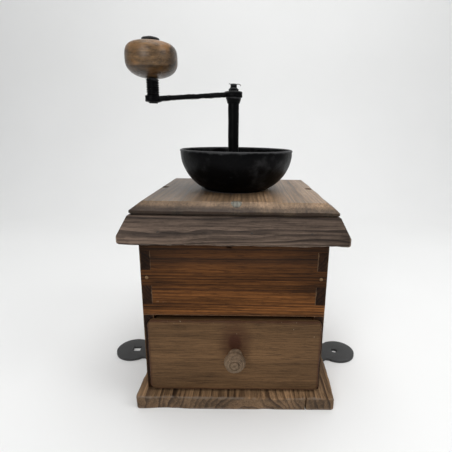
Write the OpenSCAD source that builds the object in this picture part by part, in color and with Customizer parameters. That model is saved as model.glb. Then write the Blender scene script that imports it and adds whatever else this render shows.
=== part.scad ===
// Box coffee mill: a dovetail-cornered wooden case with a drawer, an open iron bowl
// on the lid, a pair of conical burrs hung below it and a hand crank on top.
// Millimetres. +Z is up, the drawer opens towards -Y, and the origin lies below the
// middle of the case, on the underside of the base plate.

/* [Base plate and floor strap] */
// Width of the base plate, left to right
base_w = 191.3; // [186:0.1:230]
// Depth of the base plate, front to back
base_d = 190; // [186:0.2:230]
// Sideways place of the base plate under the case
base_x = 2.9; // [0:0.1:5]
// Thickness of the base plate
base_t = 13; // [9:0.5:20]
// Corner radius of the base plate seen from above
base_corner_r = 4; // [1:0.5:10]
// Thickness of the iron strap let into the underside
strap_t = 3; // [2:0.5:5]
// Width of the strap under the base plate
strap_w = 43; // [36:1:60]
// Distance from the middle to where the strap narrows towards its ears
strap_reach = 99.7; // [99:0.1:105]
// Radius of each ear of the strap
ear_r = 20.3; // [17:0.1:26]
// Distance from the middle to the centre of each ear
ear_x = 122.6; // [120:0.2:150]
// Width of the neck between an ear and the strap
ear_neck_w = 31; // [20:1:34]
// Front-to-back place of the strap's middle line
strap_y = -2; // [-10:0.5:10]
// Radius of the round bolt hole in the right ear
ear_hole_r = 3.6; // [2:0.1:6]
// Side of the square bolt hole in the left ear
ear_square = 9; // [5:0.5:12]

/* [Case] */
// Outer width of the case
case_w = 169; // [150:1:174]
// Outer depth of the case
case_d = 164; // [140:1:174]
// Height of the case walls above the base plate
case_h = 176; // [168:1:230]
// Thickness of the four wall boards
wall = 9.5; // [7:0.5:13]
// Height of the drawer opening above the base plate
bay_h = 79.7; // [60:0.1:86]
// Height of one finger of the corner joints
finger_h = 18; // [10:0.5:24]
// Distance from one finger to the next
finger_pitch = 33.5; // [28:0.5:40]
// Height of the first finger above the drawer opening
finger_first = 11.5; // [4:0.5:16]

/* [Lid] */
// Thickness of the lid board
lid_t = 11; // [8:0.5:16]
// How far the lid board reaches past the case walls
lid_over = 5.7; // [3:0.1:7]
// Width of the bevel round the lid board
bevel_w = 9.6; // [4:0.2:14]
// Height of the bevel round the lid board
bevel_h = 7; // [3:0.2:8]
// Height of the cornice moulding
mould_h = 24; // [18:0.5:30]
// Width of the flat ledge on top of the moulding
mould_ledge = 6.5; // [6:0.1:12]
// How far the moulding's nose stands out from the case
mould_nose = 14.3; // [12:0.1:20]
// Radius of the moulding's rounded nose
nose_r = 6; // [3:0.5:8]
// Depth and height of the shadow groove under the lid board's edge
quirk = 1.8; // [0.5:0.1:3]
// Radius of the counterbored screw holes in the lid board
plug_r = 4.7; // [4.2:0.1:6]
// Depth of the two counterbores that are closed with wooden plugs
plug_depth = 7.5; // [6.5:0.1:8]

/* [Drawer] */
// Gap on each side of the lipped drawer front to the case's outer faces
lip_margin = 2.9; // [1:0.1:6]
// Sideways place of the drawer front on its case
lip_x = 1; // [-2:0.1:2]
// Gap between the drawer front and the front panel above it
lip_gap = 3.2; // [1:0.1:5]
// Thickness of the drawer front's lip
lip_t = 4.1; // [3:0.1:7]
// Corner radius of the drawer front
lip_r = 6; // [2:0.5:12]
// Thickness of the block behind the lip
block_t = 7.6; // [6:0.2:12]
// Thickness of the drawer's sides and back
drawer_wall = 7; // [5:0.5:10]
// Thickness of the drawer's bottom
drawer_floor = 4; // [3:0.5:6]
// Height of the drawer's sides
drawer_side_h = 55; // [35:1:58]
// Running clearance round the drawer box
drawer_gap = 0.8; // [0.4:0.1:2]
// Length of the drawer box behind its front
drawer_len = 142; // [100:1:145]
// Sideways place of the drawer knob
drawer_knob_x = 1.5; // [-10:0.5:10]
// Height of the drawer knob above the base plate
drawer_knob_h = 41; // [20:1:60]
// Radius of the drawer knob's head
drawer_knob_r = 9.9; // [7:0.1:14]
// Radius of the drawer knob's neck
drawer_neck_r = 5.4; // [4:0.1:6.5]
// How far the drawer knob stands out
drawer_knob_len = 17.5; // [12:0.5:25]

/* [Bowl] */
// Sideways place of the mill's axis on the lid
mill_x = -4.1; // [-6:0.1:6]
// Sideways place of the bowl's middle on the lid
bowl_x = -0.8; // [-6:0.1:6]
// Outer radius of the bowl's rim
bowl_r = 58; // [54:0.1:64]
// Radius of the arc that the bowl's side follows
bowl_arc = 41.5; // [41.2:0.1:45]
// Height of the bowl's straight side between that arc and the rim
bowl_straight = 2.4; // [2:0.1:10]
// Height of the rim above the lid
bowl_h = 41.3; // [36:0.1:41.6]
// Thickness of the bowl's sheet
bowl_wall = 1.8; // [1.2:0.1:2.4]
// Width of the bar across the bowl that guides the spindle
bridge_w = 13; // [11:0.5:18]
// Thickness of that bar
bridge_t = 3; // [2:0.5:4]
// Height of that bar above the lid
bridge_h = 17; // [14:0.5:24]

/* [Burrs] */
// How much the fixed burr is wider than the bowl's foot that stands on it
burr_rim = 0.6; // [0.2:0.1:3]
// How much the fixed burr's bore narrows from top to foot
burr_draft = 2; // [1:0.1:4]
// Length of the fixed burr below the lid's top
burr_len = 34; // [28:0.5:40]
// Radius of the flange that holds the fixed burr under the lid
flange_r = 50; // [48:0.5:54]
// Thickness of that flange
flange_t = 4; // [3:0.5:6]
// Radial gap between the two burrs at their foot
grind_gap = 1.2; // [0.9:0.1:2]
// Radius of the turning burr at its top
cone_top_r = 12; // [10:0.5:14]
// Number of blades on the turning burr
blade_count = 9; // [5:1:12]
// Number of grooves in the fixed burr
groove_count = 24; // [12:1:32]

/* [Spindle and stirrup] */
// Radius of the spindle
spindle_r = 5.5; // [4:0.1:6]
// Height of the spindle's shoulder, where the crank sits, above the lid
shoulder_h = 92.6; // [80:0.2:110]
// Radial running clearance of the turning pieces
run = 0.08; // [0.03:0.01:0.1]
// Depth of the stirrup's bar below the lid's top
stirrup_depth = 80; // [72:1:84]
// Distance from the axis to the inside of the stirrup's legs
stirrup_x = 36; // [34:0.5:38]
// Thickness of the stirrup's strap
stirrup_t = 4; // [3:0.5:5]
// Width of the stirrup's strap
stirrup_w = 14; // [12:0.5:18]
// Radius of the grind adjusting screw
adjust_r = 4; // [3.5:0.1:5]
// Radius of the steel ball between the screw and the spindle
ball_r = 3; // [2.5:0.1:3.4]

/* [Crank and handle] */
// Distance between the spindle and the handle pin
crank_r = 81.3; // [60:0.1:110]
// Thickness of the crank arm at the spindle
arm_t = 5.6; // [4:0.1:8]
// Radius of the arm's hub
hub_r = 8.8; // [8:0.1:12]
// Radius of the eye at the arm's end
eye_r = 8; // [7:0.1:12]
// Width of the arm between hub and eye
arm_w = 10; // [7:0.5:14]
// How much lower the arm is at the eye than at the hub
arm_drop = 5.6; // [0:0.1:8]
// Radius of the handle pin
pin_r = 3.2; // [2.5:0.1:4]
// Radius of the sleeve under the wooden handle
sleeve_r = 6.3; // [5:0.1:8]
// Height of that sleeve
sleeve_h = 15.8; // [10:0.1:25]
// Greatest radius of the wooden handle
handle_r = 25.4; // [20:0.1:32]
// Height of the wooden handle
handle_h = 33.4; // [30:0.1:50]
// Radius of the washer on top of the handle
washer_r = 8.6; // [7:0.1:12]
// Thickness of that washer
washer_t = 3.2; // [1:0.1:4]

/* [Hidden] */
$fn = 64;
// Gap between pieces of different bodies that don't touch
gap = 0.3;
// Overshoot of a cut past the face it starts from
cut = 1;
// How much wider a drilled hole is than its screw or nail
drill = 0.05;

// Case
hw = case_w / 2;
hd = case_d / 2;
z_base = base_t;
z_bay = z_base + bay_h;
z_walls = z_base + case_h;
z_lid = z_walls + lid_t;
z_mould = z_walls - mould_h;
in_w = case_w - 2 * wall;
lid_w = case_w + 2 * lid_over;
lid_d = case_d + 2 * lid_over;
finger_z = z_bay + finger_first;
// Lowest finger kept whole above the base plate, and how many fit below the lid
finger_low = -floor((finger_z - z_base - 6) / finger_pitch);
finger_top = floor((z_walls - finger_z) / finger_pitch);

// Screws and nails: shank radius, head radius, head height
wood_r = 1.9;
wood_head = 3.9;
wood_head_h = 2.2;
nail_r = 0.9;
nail_head = 1.6;
nail_head_h = 0.8;
slot_w = 0.8;
slot_d = 0.9;
counterbore = 4;

// Mill. The bowl's arc has its middle at radius bowl_c and at height z_arc.
z_rim = z_lid + bowl_h;
z_arc = z_rim - bowl_straight;
bowl_c = bowl_r - bowl_arc;
foot_out = bowl_c + sqrt(pow(bowl_arc, 2) - pow(z_arc - z_lid, 2));
foot_in = bowl_c + sqrt(pow(bowl_arc - bowl_wall, 2) - pow(z_arc - z_lid, 2));
bead = 1.4;
// The bowl stands a little off the spindle's axis, and the fixed burr still carries its whole foot
bowl_off = abs(bowl_x - mill_x);
burr_r = foot_out + burr_rim + bowl_off;
burr_top_r = foot_in - burr_rim - bowl_off;
burr_throat_r = burr_top_r - burr_draft;
lug_r = 41;
lug_w = 12;
// Directions of the bowl's two lugs, both behind it, and of the fixed burr's four screws
LUGS = [50, 130];
QUARTERS = [0, 90, 180, 270];
z_flange = z_walls - flange_t;
z_burr = z_lid - burr_len;
flange_screw_r = 44;
cone_r = burr_throat_r - grind_gap;
// Cross pin of the turning burr
z_key = z_lid - 8;
key_r = 1.5;
z_bar = z_lid - stirrup_depth;
z_ball = z_bar + stirrup_t + 5;
// Flat left on the spindle and on the screw above and below the ball's middle
ball_seat = 1.2;
screw_len = 29;
nut_h = 5.2;
nut_r = 7.4;
thumb_r = 10;
thumb_h = 6;
thumb_notches = 12;
thumb_notch_r = 1.3;

// Crank
z_shoulder = z_lid + shoulder_h;
z_arm = z_shoulder;
z_arm_top = z_arm + arm_t;
z_eye = z_arm + arm_t / 2 - arm_drop;
eye_t = 6;
bar_t = 4.8;
// Square end of the spindle, cut from its round, and the thread above it
square = spindle_r * 1.3;
thread_r = square / 2 - 0.1;
collar_h = 6.2;
collar_top = 2.2;
collar_low = 1.8;
cap_nut_h = 5;
cap_nut_r = thread_r + 1.6;
// Radius of the nut's dome as a multiple of its own radius
cap_nut_dome = 1.6;
tip_len = 2.2;
z_tip = z_arm_top + cap_nut_h + tip_len;
// Split pin: radius of its wire, radius of its eye, depth below the tip, how far it stands out
split_r = 0.7;
split_eye_r = 1.1;
z_split = z_tip - 1.2;
split_out = 1.6;
split_leg_r = 0.6;
split_leg = 2.4;
split_bend = 35;
z_sleeve = z_eye + eye_t / 2;
z_knob = z_sleeve + sleeve_h + gap;
z_knob_top = z_knob + handle_h;
pin_head_r = pin_r + 1.8;
pin_head_h = 1.2;
// Where the handle is widest, as a share of its height, and how square its two halves are
handle_mid = 0.49;
handle_low_n = 2.3;
handle_top_n = 3.7;
handle_step = 6;

// Drawer
lip_w = case_w - 2 * lip_margin;
lip_under = 2;
lip_z0 = z_base + lip_under;
lip_h = z_bay - lip_gap - lip_z0;
lip_off = 0.4;
y_lip = -hd - lip_off - lip_t;
y_block = y_lip + lip_t;
y_box = y_block + block_t;
box_w = in_w - 2 * drawer_gap;
z_floor = z_base + lip_off;
z_knob_axis = z_base + drawer_knob_h;
rail_gap = 1.5;

// ---------------------------------------------------------------- small helpers

// Rectangle with true round corners, centred
module round_rect(w, d, r) {
    square([w - 2 * r, d], center = true);
    square([w, d - 2 * r], center = true);
    for (x = [-1, 1], y = [-1, 1])
        translate([x * (w / 2 - r), y * (d / 2 - r)]) circle(r);
}

// Board given by its low corner and its high corner
module board(a, b) {
    translate(a) cube(b - a);
}

// Hole for the shank of a wood screw that points down from z = 0
module shank_hole(len, more = 0) {
    translate([0, 0, -len]) cylinder(h = len + more, r = wood_r + drill);
}

// Slotted round-head wood screw, head up, its bearing face at z = 0
module round_screw(len, r = wood_r, head = wood_head, head_h = wood_head_h) {
    ball = (head * head + head_h * head_h) / (2 * head_h);
    translate([0, 0, -len]) cylinder(h = len, r = r);
    difference() {
        intersection() {
            cylinder(h = head_h, r = head);
            translate([0, 0, head_h - ball]) sphere(ball);
        }
        translate([-head, -slot_w / 2, head_h - slot_d]) cube([2 * head, slot_w, slot_d + cut]);
    }
}

// Slotted countersunk wood screw, its flat head flush with z = 0
module flat_screw(len, r = wood_r, head = wood_head, head_h = wood_head_h) {
    difference() {
        union() {
            translate([0, 0, -len]) cylinder(h = len, r = r);
            translate([0, 0, -head_h]) cylinder(h = head_h, r1 = r, r2 = head);
        }
        translate([-head, -slot_w / 2, -slot_d]) cube([2 * head, slot_w, slot_d + cut]);
    }
}

// Hole for that countersunk screw
module flat_screw_hole(len, r = wood_r, head = wood_head, head_h = wood_head_h) {
    translate([0, 0, -len - drill]) cylinder(h = len + drill + cut, r = r + drill);
    translate([0, 0, -head_h]) cylinder(h = head_h, r1 = r + drill, r2 = head + drill);
    cylinder(h = cut, r = head + drill);
}

// Nail with a small flat head, the head's top at z = 0
module nail(len, r = nail_r) {
    translate([0, 0, -len]) cylinder(h = len, r = r);
    translate([0, 0, -nail_head_h]) cylinder(h = nail_head_h, r = nail_head);
}

// Hole for that nail
module nail_hole(len, r = nail_r) {
    translate([0, 0, -len - drill]) cylinder(h = len + drill + cut, r = r + drill);
    translate([0, 0, -nail_head_h]) cylinder(h = nail_head_h + cut, r = nail_head + drill);
}

// Places the children on the spindle's axis
module on_mill() {
    translate([mill_x, 0, 0]) children();
}

// Places the children on the bowl's middle line
module on_bowl() {
    translate([bowl_x, 0, 0]) children();
}

// ---------------------------------------------------------------- base and strap

strap_shoulder = 6;
ear_hole_in = 3;
STRAP_SCREWS = [for (x = [-72, -26, 26, 72]) [x, strap_y, 0]];
strap_screw_len = 11;
base_screw_len = 30;
base_screw_in = 24;
base_screw_y = hd - base_screw_in;

// Strap seen from above: a band, sloping shoulders, necks and a round ear at each end
module strap_outline() {
    half = strap_w / 2;
    neck = ear_neck_w / 2;
    end = strap_reach + strap_shoulder;
    polygon([[-strap_reach, -half], [strap_reach, -half], [end, -neck], [ear_x, -neck],
        [ear_x, neck], [end, neck], [strap_reach, half], [-strap_reach, half],
        [-end, neck], [-ear_x, neck], [-ear_x, -neck], [-end, -neck]]);
    for (s = [-1, 1]) translate([s * ear_x, 0]) circle(ear_r);
}

module mount_strap() {
    hole_x = ear_x - ear_hole_in;
    color([0.26, 0.26, 0.27]) difference() {
        translate([0, strap_y, 0]) linear_extrude(strap_t) strap_outline();
        translate([hole_x, strap_y, -cut]) cylinder(h = strap_t + 2 * cut, r = ear_hole_r);
        translate([-hole_x, strap_y, strap_t / 2])
            cube([ear_square, ear_square, strap_t + 2 * cut], center = true);
        for (p = STRAP_SCREWS) translate(p) mirror([0, 0, 1]) flat_screw_hole(strap_screw_len);
    }
}

module strap_screws() {
    color([0.18, 0.18, 0.19]) for (p = STRAP_SCREWS)
        translate(p) mirror([0, 0, 1]) flat_screw(strap_screw_len);
}

// Children at each screw that runs up through the base plate into a side board
module at_base_screws() {
    for (x = [-1, 1], y = [-1, 1])
        translate([x * (hw - wall / 2), y * base_screw_y, 0]) mirror([0, 0, 1]) children();
}

module base_screws() {
    color([0.18, 0.18, 0.19]) at_base_screws() flat_screw(base_screw_len);
}

module base_plate() {
    color([0.24, 0.15, 0.09]) difference() {
        translate([base_x, 0, 0]) linear_extrude(base_t) round_rect(base_w, base_d, base_corner_r);
        // Seat of the strap
        translate([-base_w, strap_y - strap_w / 2, -cut])
            cube([2 * base_w, strap_w, strap_t + cut]);
        for (p = STRAP_SCREWS) translate(p) mirror([0, 0, 1]) flat_screw_hole(strap_screw_len);
        at_base_screws() flat_screw_hole(base_screw_len);
    }
}

// ---------------------------------------------------------------- case walls

lid_screw_len = 22;
lid_screw_off = 1.5;
lid_screw_y = 2;
// Open screw holes over the side boards, and plugged ones over the front and back boards
LID_SCREWS = [for (s = [-1, 1])
    [s * (hw - wall / 2 - lid_screw_off), lid_screw_y, z_lid - counterbore]];
PLUGGED = [for (s = [-1, 1])
    [lid_screw_off, s * (hd - wall / 2 + lid_screw_off), z_lid - plug_depth]];
case_nail_len = 24;
case_nail_in = 0.5;

// Fingers of one side board through the board at y = s * hd, over the heights z0 to z1
module fingers(s, k0, k1) {
    for (k = [k0:k1]) {
        z = finger_z + k * finger_pitch;
        top = (k == finger_top) ? z_walls : z + finger_h;
        translate([-hw - cut, s * (hd - wall / 2) - wall / 2, z])
            cube([2 * hw + 2 * cut, wall, top - z]);
    }
}

// Children at the floor of each counterbore of the lid
module at_lid_screws() {
    for (p = concat(LID_SCREWS, PLUGGED)) translate(p) children();
}

// Nails that pin the front and back boards to the side boards, between fingers
module at_case_nails() {
    for (x = [-1, 1]) {
        translate([x * (hw - wall / 2 - case_nail_in), -hd, finger_z + (finger_pitch + finger_h) / 2])
            rotate([90, 0, 0]) children();
        for (k = [-1, 0])
            translate([x * (hw - wall / 2 - case_nail_in), hd,
                finger_z + k * finger_pitch + (finger_pitch + finger_h) / 2])
                rotate([-90, 0, 0]) children();
    }
}

module side_board(s) {
    x0 = (s < 0) ? -hw : hw - wall;
    difference() {
        union() {
            // Main board between the front and back boards
            board([x0, -hd + wall, z_base], [x0 + wall, hd - wall, z_walls]);
            // Beside the drawer the board comes forward to the case's front
            board([x0, -hd, z_base], [x0 + wall, -hd + wall, z_bay]);
            intersection() {
                board([x0, -hd, z_base], [x0 + wall, hd, z_walls]);
                union() {
                    fingers(-1, 0, finger_top);
                    fingers(1, finger_low, finger_top);
                }
            }
        }
        at_lid_screws() shank_hole(lid_screw_len);
        at_base_screws() flat_screw_hole(base_screw_len);
        at_case_nails() nail_hole(case_nail_len);
        at_cornice_nails() nail_hole(cornice_nail_len);
    }
}

module side_left() {
    color([0.35, 0.22, 0.12]) side_board(-1);
}

module side_right() {
    color([0.35, 0.22, 0.12]) side_board(1);
}

module front_panel() {
    color([0.34, 0.21, 0.11]) difference() {
        board([-hw, -hd, z_bay], [hw, -hd + wall, z_walls]);
        for (s = [-1, 1]) intersection() {
            fingers(-1, 0, finger_top);
            translate([s * (hw - wall / 2 + cut), 0, 0])
                cube([wall + 2 * cut, 4 * hd, 4 * z_lid], center = true);
        }
        at_lid_screws() shank_hole(lid_screw_len);
        at_case_nails() nail_hole(case_nail_len);
        at_cornice_nails() nail_hole(cornice_nail_len);
    }
}

module back_panel() {
    color([0.33, 0.21, 0.12]) difference() {
        board([-hw, hd - wall, z_base], [hw, hd, z_walls]);
        for (s = [-1, 1]) intersection() {
            fingers(1, finger_low, finger_top);
            translate([s * (hw - wall / 2 + cut), 0, 0])
                cube([wall + 2 * cut, 4 * hd, 4 * z_lid], center = true);
        }
        at_lid_screws() shank_hole(lid_screw_len);
        at_case_nails() nail_hole(case_nail_len);
        at_cornice_nails() nail_hole(cornice_nail_len);
    }
}

module case_nails() {
    color([0.16, 0.15, 0.14]) at_case_nails() nail(case_nail_len);
}

// ---------------------------------------------------------------- cornice and lid

// Section of the moulding, u outwards from the wall and v up from its foot: the middle of
// the rounded nose, the top of the sloping face and the point where the two meet
nose_c = [mould_nose - nose_r, nose_r];
slope_top = [mould_ledge, mould_h];
slope = slope_top - nose_c;
slope_a = atan2(slope[1], slope[0]) - acos(nose_r / norm(slope));
slope_foot = nose_c + nose_r * [cos(slope_a), sin(slope_a)];
// Cornice nails, their heads a little below the sloping face
cornice_nail_len = 17;
cornice_nail_v = 10.5;
cornice_nail_sink = 0.2;
cornice_nail_z = z_mould + cornice_nail_v;
cornice_nail_u = slope_foot[0] - cornice_nail_sink + (cornice_nail_v - slope_foot[1])
    * (slope_top[0] - slope_foot[0]) / (slope_top[1] - slope_foot[1]);
CORNICE_NAIL_X = [-64, 15, 66];
CORNICE_NAIL_Y = [-60, 6, 60];

module mould_section() {
    polygon([[0, 0], [nose_c[0], 0], nose_c, slope_foot, slope_top, [0, mould_h]]);
    translate(nose_c) circle(nose_r);
}

// Straight length of moulding on a wall of half width w and distance d, mitred at both ends
module cornice_run(w, d) {
    reach = mould_nose + cut;
    intersection() {
        translate([w + reach, -d, z_mould]) rotate([90, 0, -90])
            linear_extrude(2 * (w + reach)) mould_section();
        translate([0, 0, z_mould - cut]) linear_extrude(mould_h + 2 * cut)
            polygon([[-w, -d], [w, -d], [w + reach, -d - reach], [-w - reach, -d - reach]]);
    }
}

// Children at each cornice nail, pointing out of the moulding's face
module at_cornice_nails() {
    for (x = CORNICE_NAIL_X) {
        translate([x, -hd - cornice_nail_u, cornice_nail_z]) rotate([90, 0, 0]) children();
        translate([x, hd + cornice_nail_u, cornice_nail_z]) rotate([-90, 0, 0]) children();
    }
    for (y = CORNICE_NAIL_Y, s = [-1, 1])
        translate([s * (hw + cornice_nail_u), y, cornice_nail_z]) rotate([0, s * 90, 0]) children();
}

module cornice_front() {
    color([0.36, 0.31, 0.27]) difference() {
        cornice_run(hw, hd);
        at_cornice_nails() nail_hole(cornice_nail_len);
    }
}

module cornice_back() {
    color([0.36, 0.31, 0.27]) difference() {
        rotate([0, 0, 180]) cornice_run(hw, hd);
        at_cornice_nails() nail_hole(cornice_nail_len);
    }
}

module cornice_left() {
    color([0.36, 0.31, 0.27]) difference() {
        rotate([0, 0, -90]) cornice_run(hd, hw);
        at_cornice_nails() nail_hole(cornice_nail_len);
    }
}

module cornice_right() {
    color([0.36, 0.31, 0.27]) difference() {
        rotate([0, 0, 90]) cornice_run(hd, hw);
        at_cornice_nails() nail_hole(cornice_nail_len);
    }
}

module cornice_nails() {
    color([0.16, 0.15, 0.14]) at_cornice_nails() nail(cornice_nail_len);
}

// What the bevels take off the lid board, one along each edge
module lid_bevels() {
    half = [lid_w / 2, lid_d / 2];
    run_out = cut * bevel_h / bevel_w;
    for (a = [0:3]) rotate([0, 0, 90 * a])
        translate([-half[0] - half[1], -half[1 - a % 2], z_lid]) rotate([90, 0, 90])
            linear_extrude(2 * (half[0] + half[1]))
                polygon([[bevel_w, 0], [0, -bevel_h], [-cut, -bevel_h - run_out],
                    [-cut, cut], [bevel_w, cut]]);
}

module lid_board() {
    lw = lid_w / 2;
    ld = lid_d / 2;
    color([0.5, 0.42, 0.34]) difference() {
        union() {
            board([-lw + quirk, -ld + quirk, z_walls], [lw - quirk, ld - quirk, z_walls + quirk]);
            board([-lw, -ld, z_walls + quirk], [lw, ld, z_lid]);
        }
        lid_bevels();
        on_mill() translate([0, 0, z_walls - cut]) cylinder(h = lid_t + 2 * cut, r = burr_r + drill);
        at_lid_screws() cylinder(h = lid_t, r = plug_r);
        at_lid_screws() shank_hole(lid_screw_len, cut);
        at_lugs() shank_hole(lug_screw_len, cut);
        at_burr_screws() cylinder(h = burr_screw_len - stirrup_t, r = wood_r + drill);
    }
}

// Wooden plugs on top of the screw heads, flush with the lid and its bevel
module lid_plugs() {
    color([0.42, 0.4, 0.34]) difference() {
        for (p = PLUGGED) translate(p + [0, 0, wood_head_h])
            cylinder(h = plug_depth - wood_head_h, r = plug_r);
        lid_bevels();
    }
}

module lid_screws() {
    color([0.2, 0.2, 0.19]) at_lid_screws() round_screw(lid_screw_len);
}

// ---------------------------------------------------------------- drawer

drawer_nail_len = 16;
z_box_floor = z_floor + drawer_floor;
y_box_end = y_box + drawer_len;
drawer_screw_len = 20;
drawer_nail_low = 12;
drawer_nail_high = drawer_side_h - 14;
drawer_nail_in = 30;
drawer_back_drop = 5;

// Nails from the drawer's sides into its front block and its back board
module at_drawer_nails() {
    for (s = [-1, 1], z = [z_box_floor + drawer_nail_low, z_box_floor + drawer_nail_high])
        translate([s * box_w / 2, y_box_end - drawer_wall / 2, z]) rotate([0, s * 90, 0]) children();
    for (x = [-1, 1], y = [y_box + drawer_nail_in, y_box_end - drawer_nail_in])
        translate([x * (box_w - drawer_wall) / 2, y, z_floor]) mirror([0, 0, 1]) children();
}

module on_drawer_knob() {
    translate([drawer_knob_x, y_lip, z_knob_axis]) rotate([90, 0, 0]) children();
}

module drawer_front() {
    color([0.37, 0.27, 0.17]) difference() {
        union() {
            translate([lip_x, y_block, lip_z0 + lip_h / 2]) rotate([90, 0, 0])
                linear_extrude(lip_t) round_rect(lip_w, lip_h, lip_r);
            board([-box_w / 2, y_block, z_box_floor], [box_w / 2, y_box, lip_z0 + lip_h - rail_gap]);
        }
        on_drawer_knob() translate([0, 0, -lip_t - block_t - cut])
            cylinder(h = lip_t + block_t + 2 * cut, r = wood_r + drill);
    }
}

module drawer_side(s) {
    x0 = (s < 0) ? -box_w / 2 : box_w / 2 - drawer_wall;
    difference() {
        board([x0, y_box, z_box_floor], [x0 + drawer_wall, y_box_end, z_box_floor + drawer_side_h]);
        at_drawer_nails() nail_hole(drawer_nail_len);
    }
}

module drawer_left() {
    color([0.55, 0.42, 0.28]) drawer_side(-1);
}

module drawer_right() {
    color([0.55, 0.42, 0.28]) drawer_side(1);
}

module drawer_back() {
    color([0.55, 0.42, 0.28]) difference() {
        board([-box_w / 2 + drawer_wall, y_box_end - drawer_wall, z_box_floor],
            [box_w / 2 - drawer_wall, y_box_end, z_box_floor + drawer_side_h - drawer_back_drop]);
        at_drawer_nails() nail_hole(drawer_nail_len);
    }
}

module drawer_bottom() {
    color([0.5, 0.38, 0.25]) difference() {
        board([-box_w / 2, y_block, z_floor], [box_w / 2, y_box_end, z_box_floor]);
        at_drawer_nails() nail_hole(drawer_nail_len);
    }
}

module drawer_nails() {
    color([0.16, 0.15, 0.14]) at_drawer_nails() nail(drawer_nail_len);
}

// Turned knob: neck with a flared foot, round head and a ring cut into its face
module drawer_knob() {
    neck_len = 8;
    flare = 1.6;
    flare_len = 2;
    head_t = drawer_knob_len - neck_len;
    edge = 3;
    ring_in = 2.9;
    ring_r = 0.6;
    color([0.49, 0.41, 0.33]) on_drawer_knob() difference() {
        union() {
            rotate_extrude() polygon([[0, 0], [drawer_neck_r + flare, 0],
                [drawer_neck_r, flare_len], [drawer_neck_r, neck_len], [0, neck_len]]);
            translate([0, 0, neck_len]) rotate_extrude() intersection() {
                union() {
                    translate([drawer_knob_r - edge, edge]) circle(edge);
                    translate([drawer_knob_r - edge, head_t - edge]) circle(edge);
                    square([drawer_knob_r - edge, head_t]);
                    translate([0, edge]) square([drawer_knob_r, head_t - 2 * edge]);
                }
                square([drawer_knob_r + cut, head_t]);
            }
        }
        translate([0, 0, drawer_knob_len]) rotate_extrude()
            translate([drawer_knob_r - ring_in, 0]) circle(ring_r);
        translate([0, 0, drawer_screw_len - lip_t - block_t]) shank_hole(drawer_screw_len);
    }
}

module drawer_knob_screw() {
    color([0.2, 0.2, 0.19]) on_drawer_knob() translate([0, 0, -lip_t - block_t]) mirror([0, 0, 1])
        round_screw(drawer_screw_len - drill);
}

// ---------------------------------------------------------------- bowl and burrs

lug_screw_len = 9;
burr_screw_len = 16;
z_bridge = z_lid + bridge_h;
// Upright pads at the bridge's ends: height, how far they reach below the bar, length
bridge_pad = 9;
bridge_pad_low = 3;
bridge_pad_len = 17;
bridge_boss = 4;
rivet_r = 1.6;
rivet_len = 7;

// How far the rivets end below the bowl's outer face
rivet_sink = 0.6;

// Children at the top face of each lug of the bowl
module at_lugs() {
    on_bowl() for (a = LUGS) rotate([0, 0, a])
        translate([lug_r, 0, z_lid + bowl_wall]) children();
}

// Children at each screw that holds the fixed burr, at the level of its flange's underside
module at_burr_screws() {
    on_mill() for (a = QUARTERS) rotate([0, 0, a]) translate([flange_screw_r, 0, z_flange]) children();
}

// Solid of the bowl's shape for a given arc radius, closed on top and so much taller
module bowl_solid(arc, taller = 0) {
    rotate_extrude() intersection() {
        union() {
            translate([bowl_c, z_arc]) circle(arc);
            translate([0, z_arc - arc]) square([bowl_c, 2 * arc]);
            translate([0, z_arc]) square([bowl_c + arc, bowl_straight + cut]);
        }
        translate([0, z_lid - cut]) square([bowl_c + arc + cut, bowl_h + cut + taller]);
    }
}

module hopper_bowl() {
    color([0.08, 0.08, 0.085]) difference() {
        on_bowl() union() {
            bowl_solid(bowl_arc);
            translate([0, 0, z_rim - bead]) rotate_extrude() translate([bowl_r - bead, 0]) circle(bead);
            for (a = LUGS) rotate([0, 0, a]) {
                translate([lug_r, 0, z_lid]) cylinder(h = bowl_wall, r = lug_w / 2);
                translate([0, -lug_w / 2, z_lid]) cube([lug_r, lug_w, bowl_wall]);
            }
        }
        on_bowl() bowl_solid(bowl_arc - bowl_wall, cut);
        on_bowl() translate([-bowl_r, -bowl_r, z_lid - 2 * bowl_r]) cube(2 * bowl_r);
        at_lugs() shank_hole(bowl_wall + cut, cut);
        bridge_rivet_bars(drill, bridge_boss);
    }
}

module hopper_screws() {
    color([0.2, 0.2, 0.2]) at_lugs() round_screw(lug_screw_len);
}

// Bars that run out through the bridge's end pads and so far past the bowl's outer face
module bridge_rivet_bars(more, past) {
    z = z_bridge + bridge_t / 2;
    reach = bowl_c + sqrt(pow(bowl_arc, 2) - pow(z_arc - z, 2));
    for (s = [-1, 1]) on_mill() translate([0, 0, z]) rotate([s * 90, 0, 0])
        translate([0, 0, reach - rivet_len]) cylinder(h = rivet_len + past, r = rivet_r + more);
}

// Bar across the bowl with an upright pad at each end and a boss round the spindle
module spindle_bridge() {
    color([0.12, 0.12, 0.125]) difference() {
        intersection() {
            on_mill() {
                translate([-bridge_w / 2, -bowl_r, z_bridge]) cube([bridge_w, 2 * bowl_r, bridge_t]);
                for (s = [-1, 1]) translate([0, s * (bowl_r - bridge_pad_len / 2 - bridge_boss),
                    z_bridge - bridge_pad_low + bridge_pad / 2])
                    cube([bridge_w, bridge_pad_len, bridge_pad], center = true);
                translate([0, 0, z_bridge - bridge_pad_low])
                    cylinder(h = bridge_t + 2 * bridge_pad_low, r = spindle_r + bridge_boss);
            }
            on_bowl() bowl_solid(bowl_arc - bowl_wall - drill);
        }
        on_mill() translate([0, 0, z_bridge - bridge_pad])
            cylinder(h = 3 * bridge_pad, r = spindle_r + run);
        bridge_rivet_bars(drill, bridge_boss);
    }
}

module bridge_rivets() {
    color([0.12, 0.12, 0.125]) bridge_rivet_bars(0, -rivet_sink);
}

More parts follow.
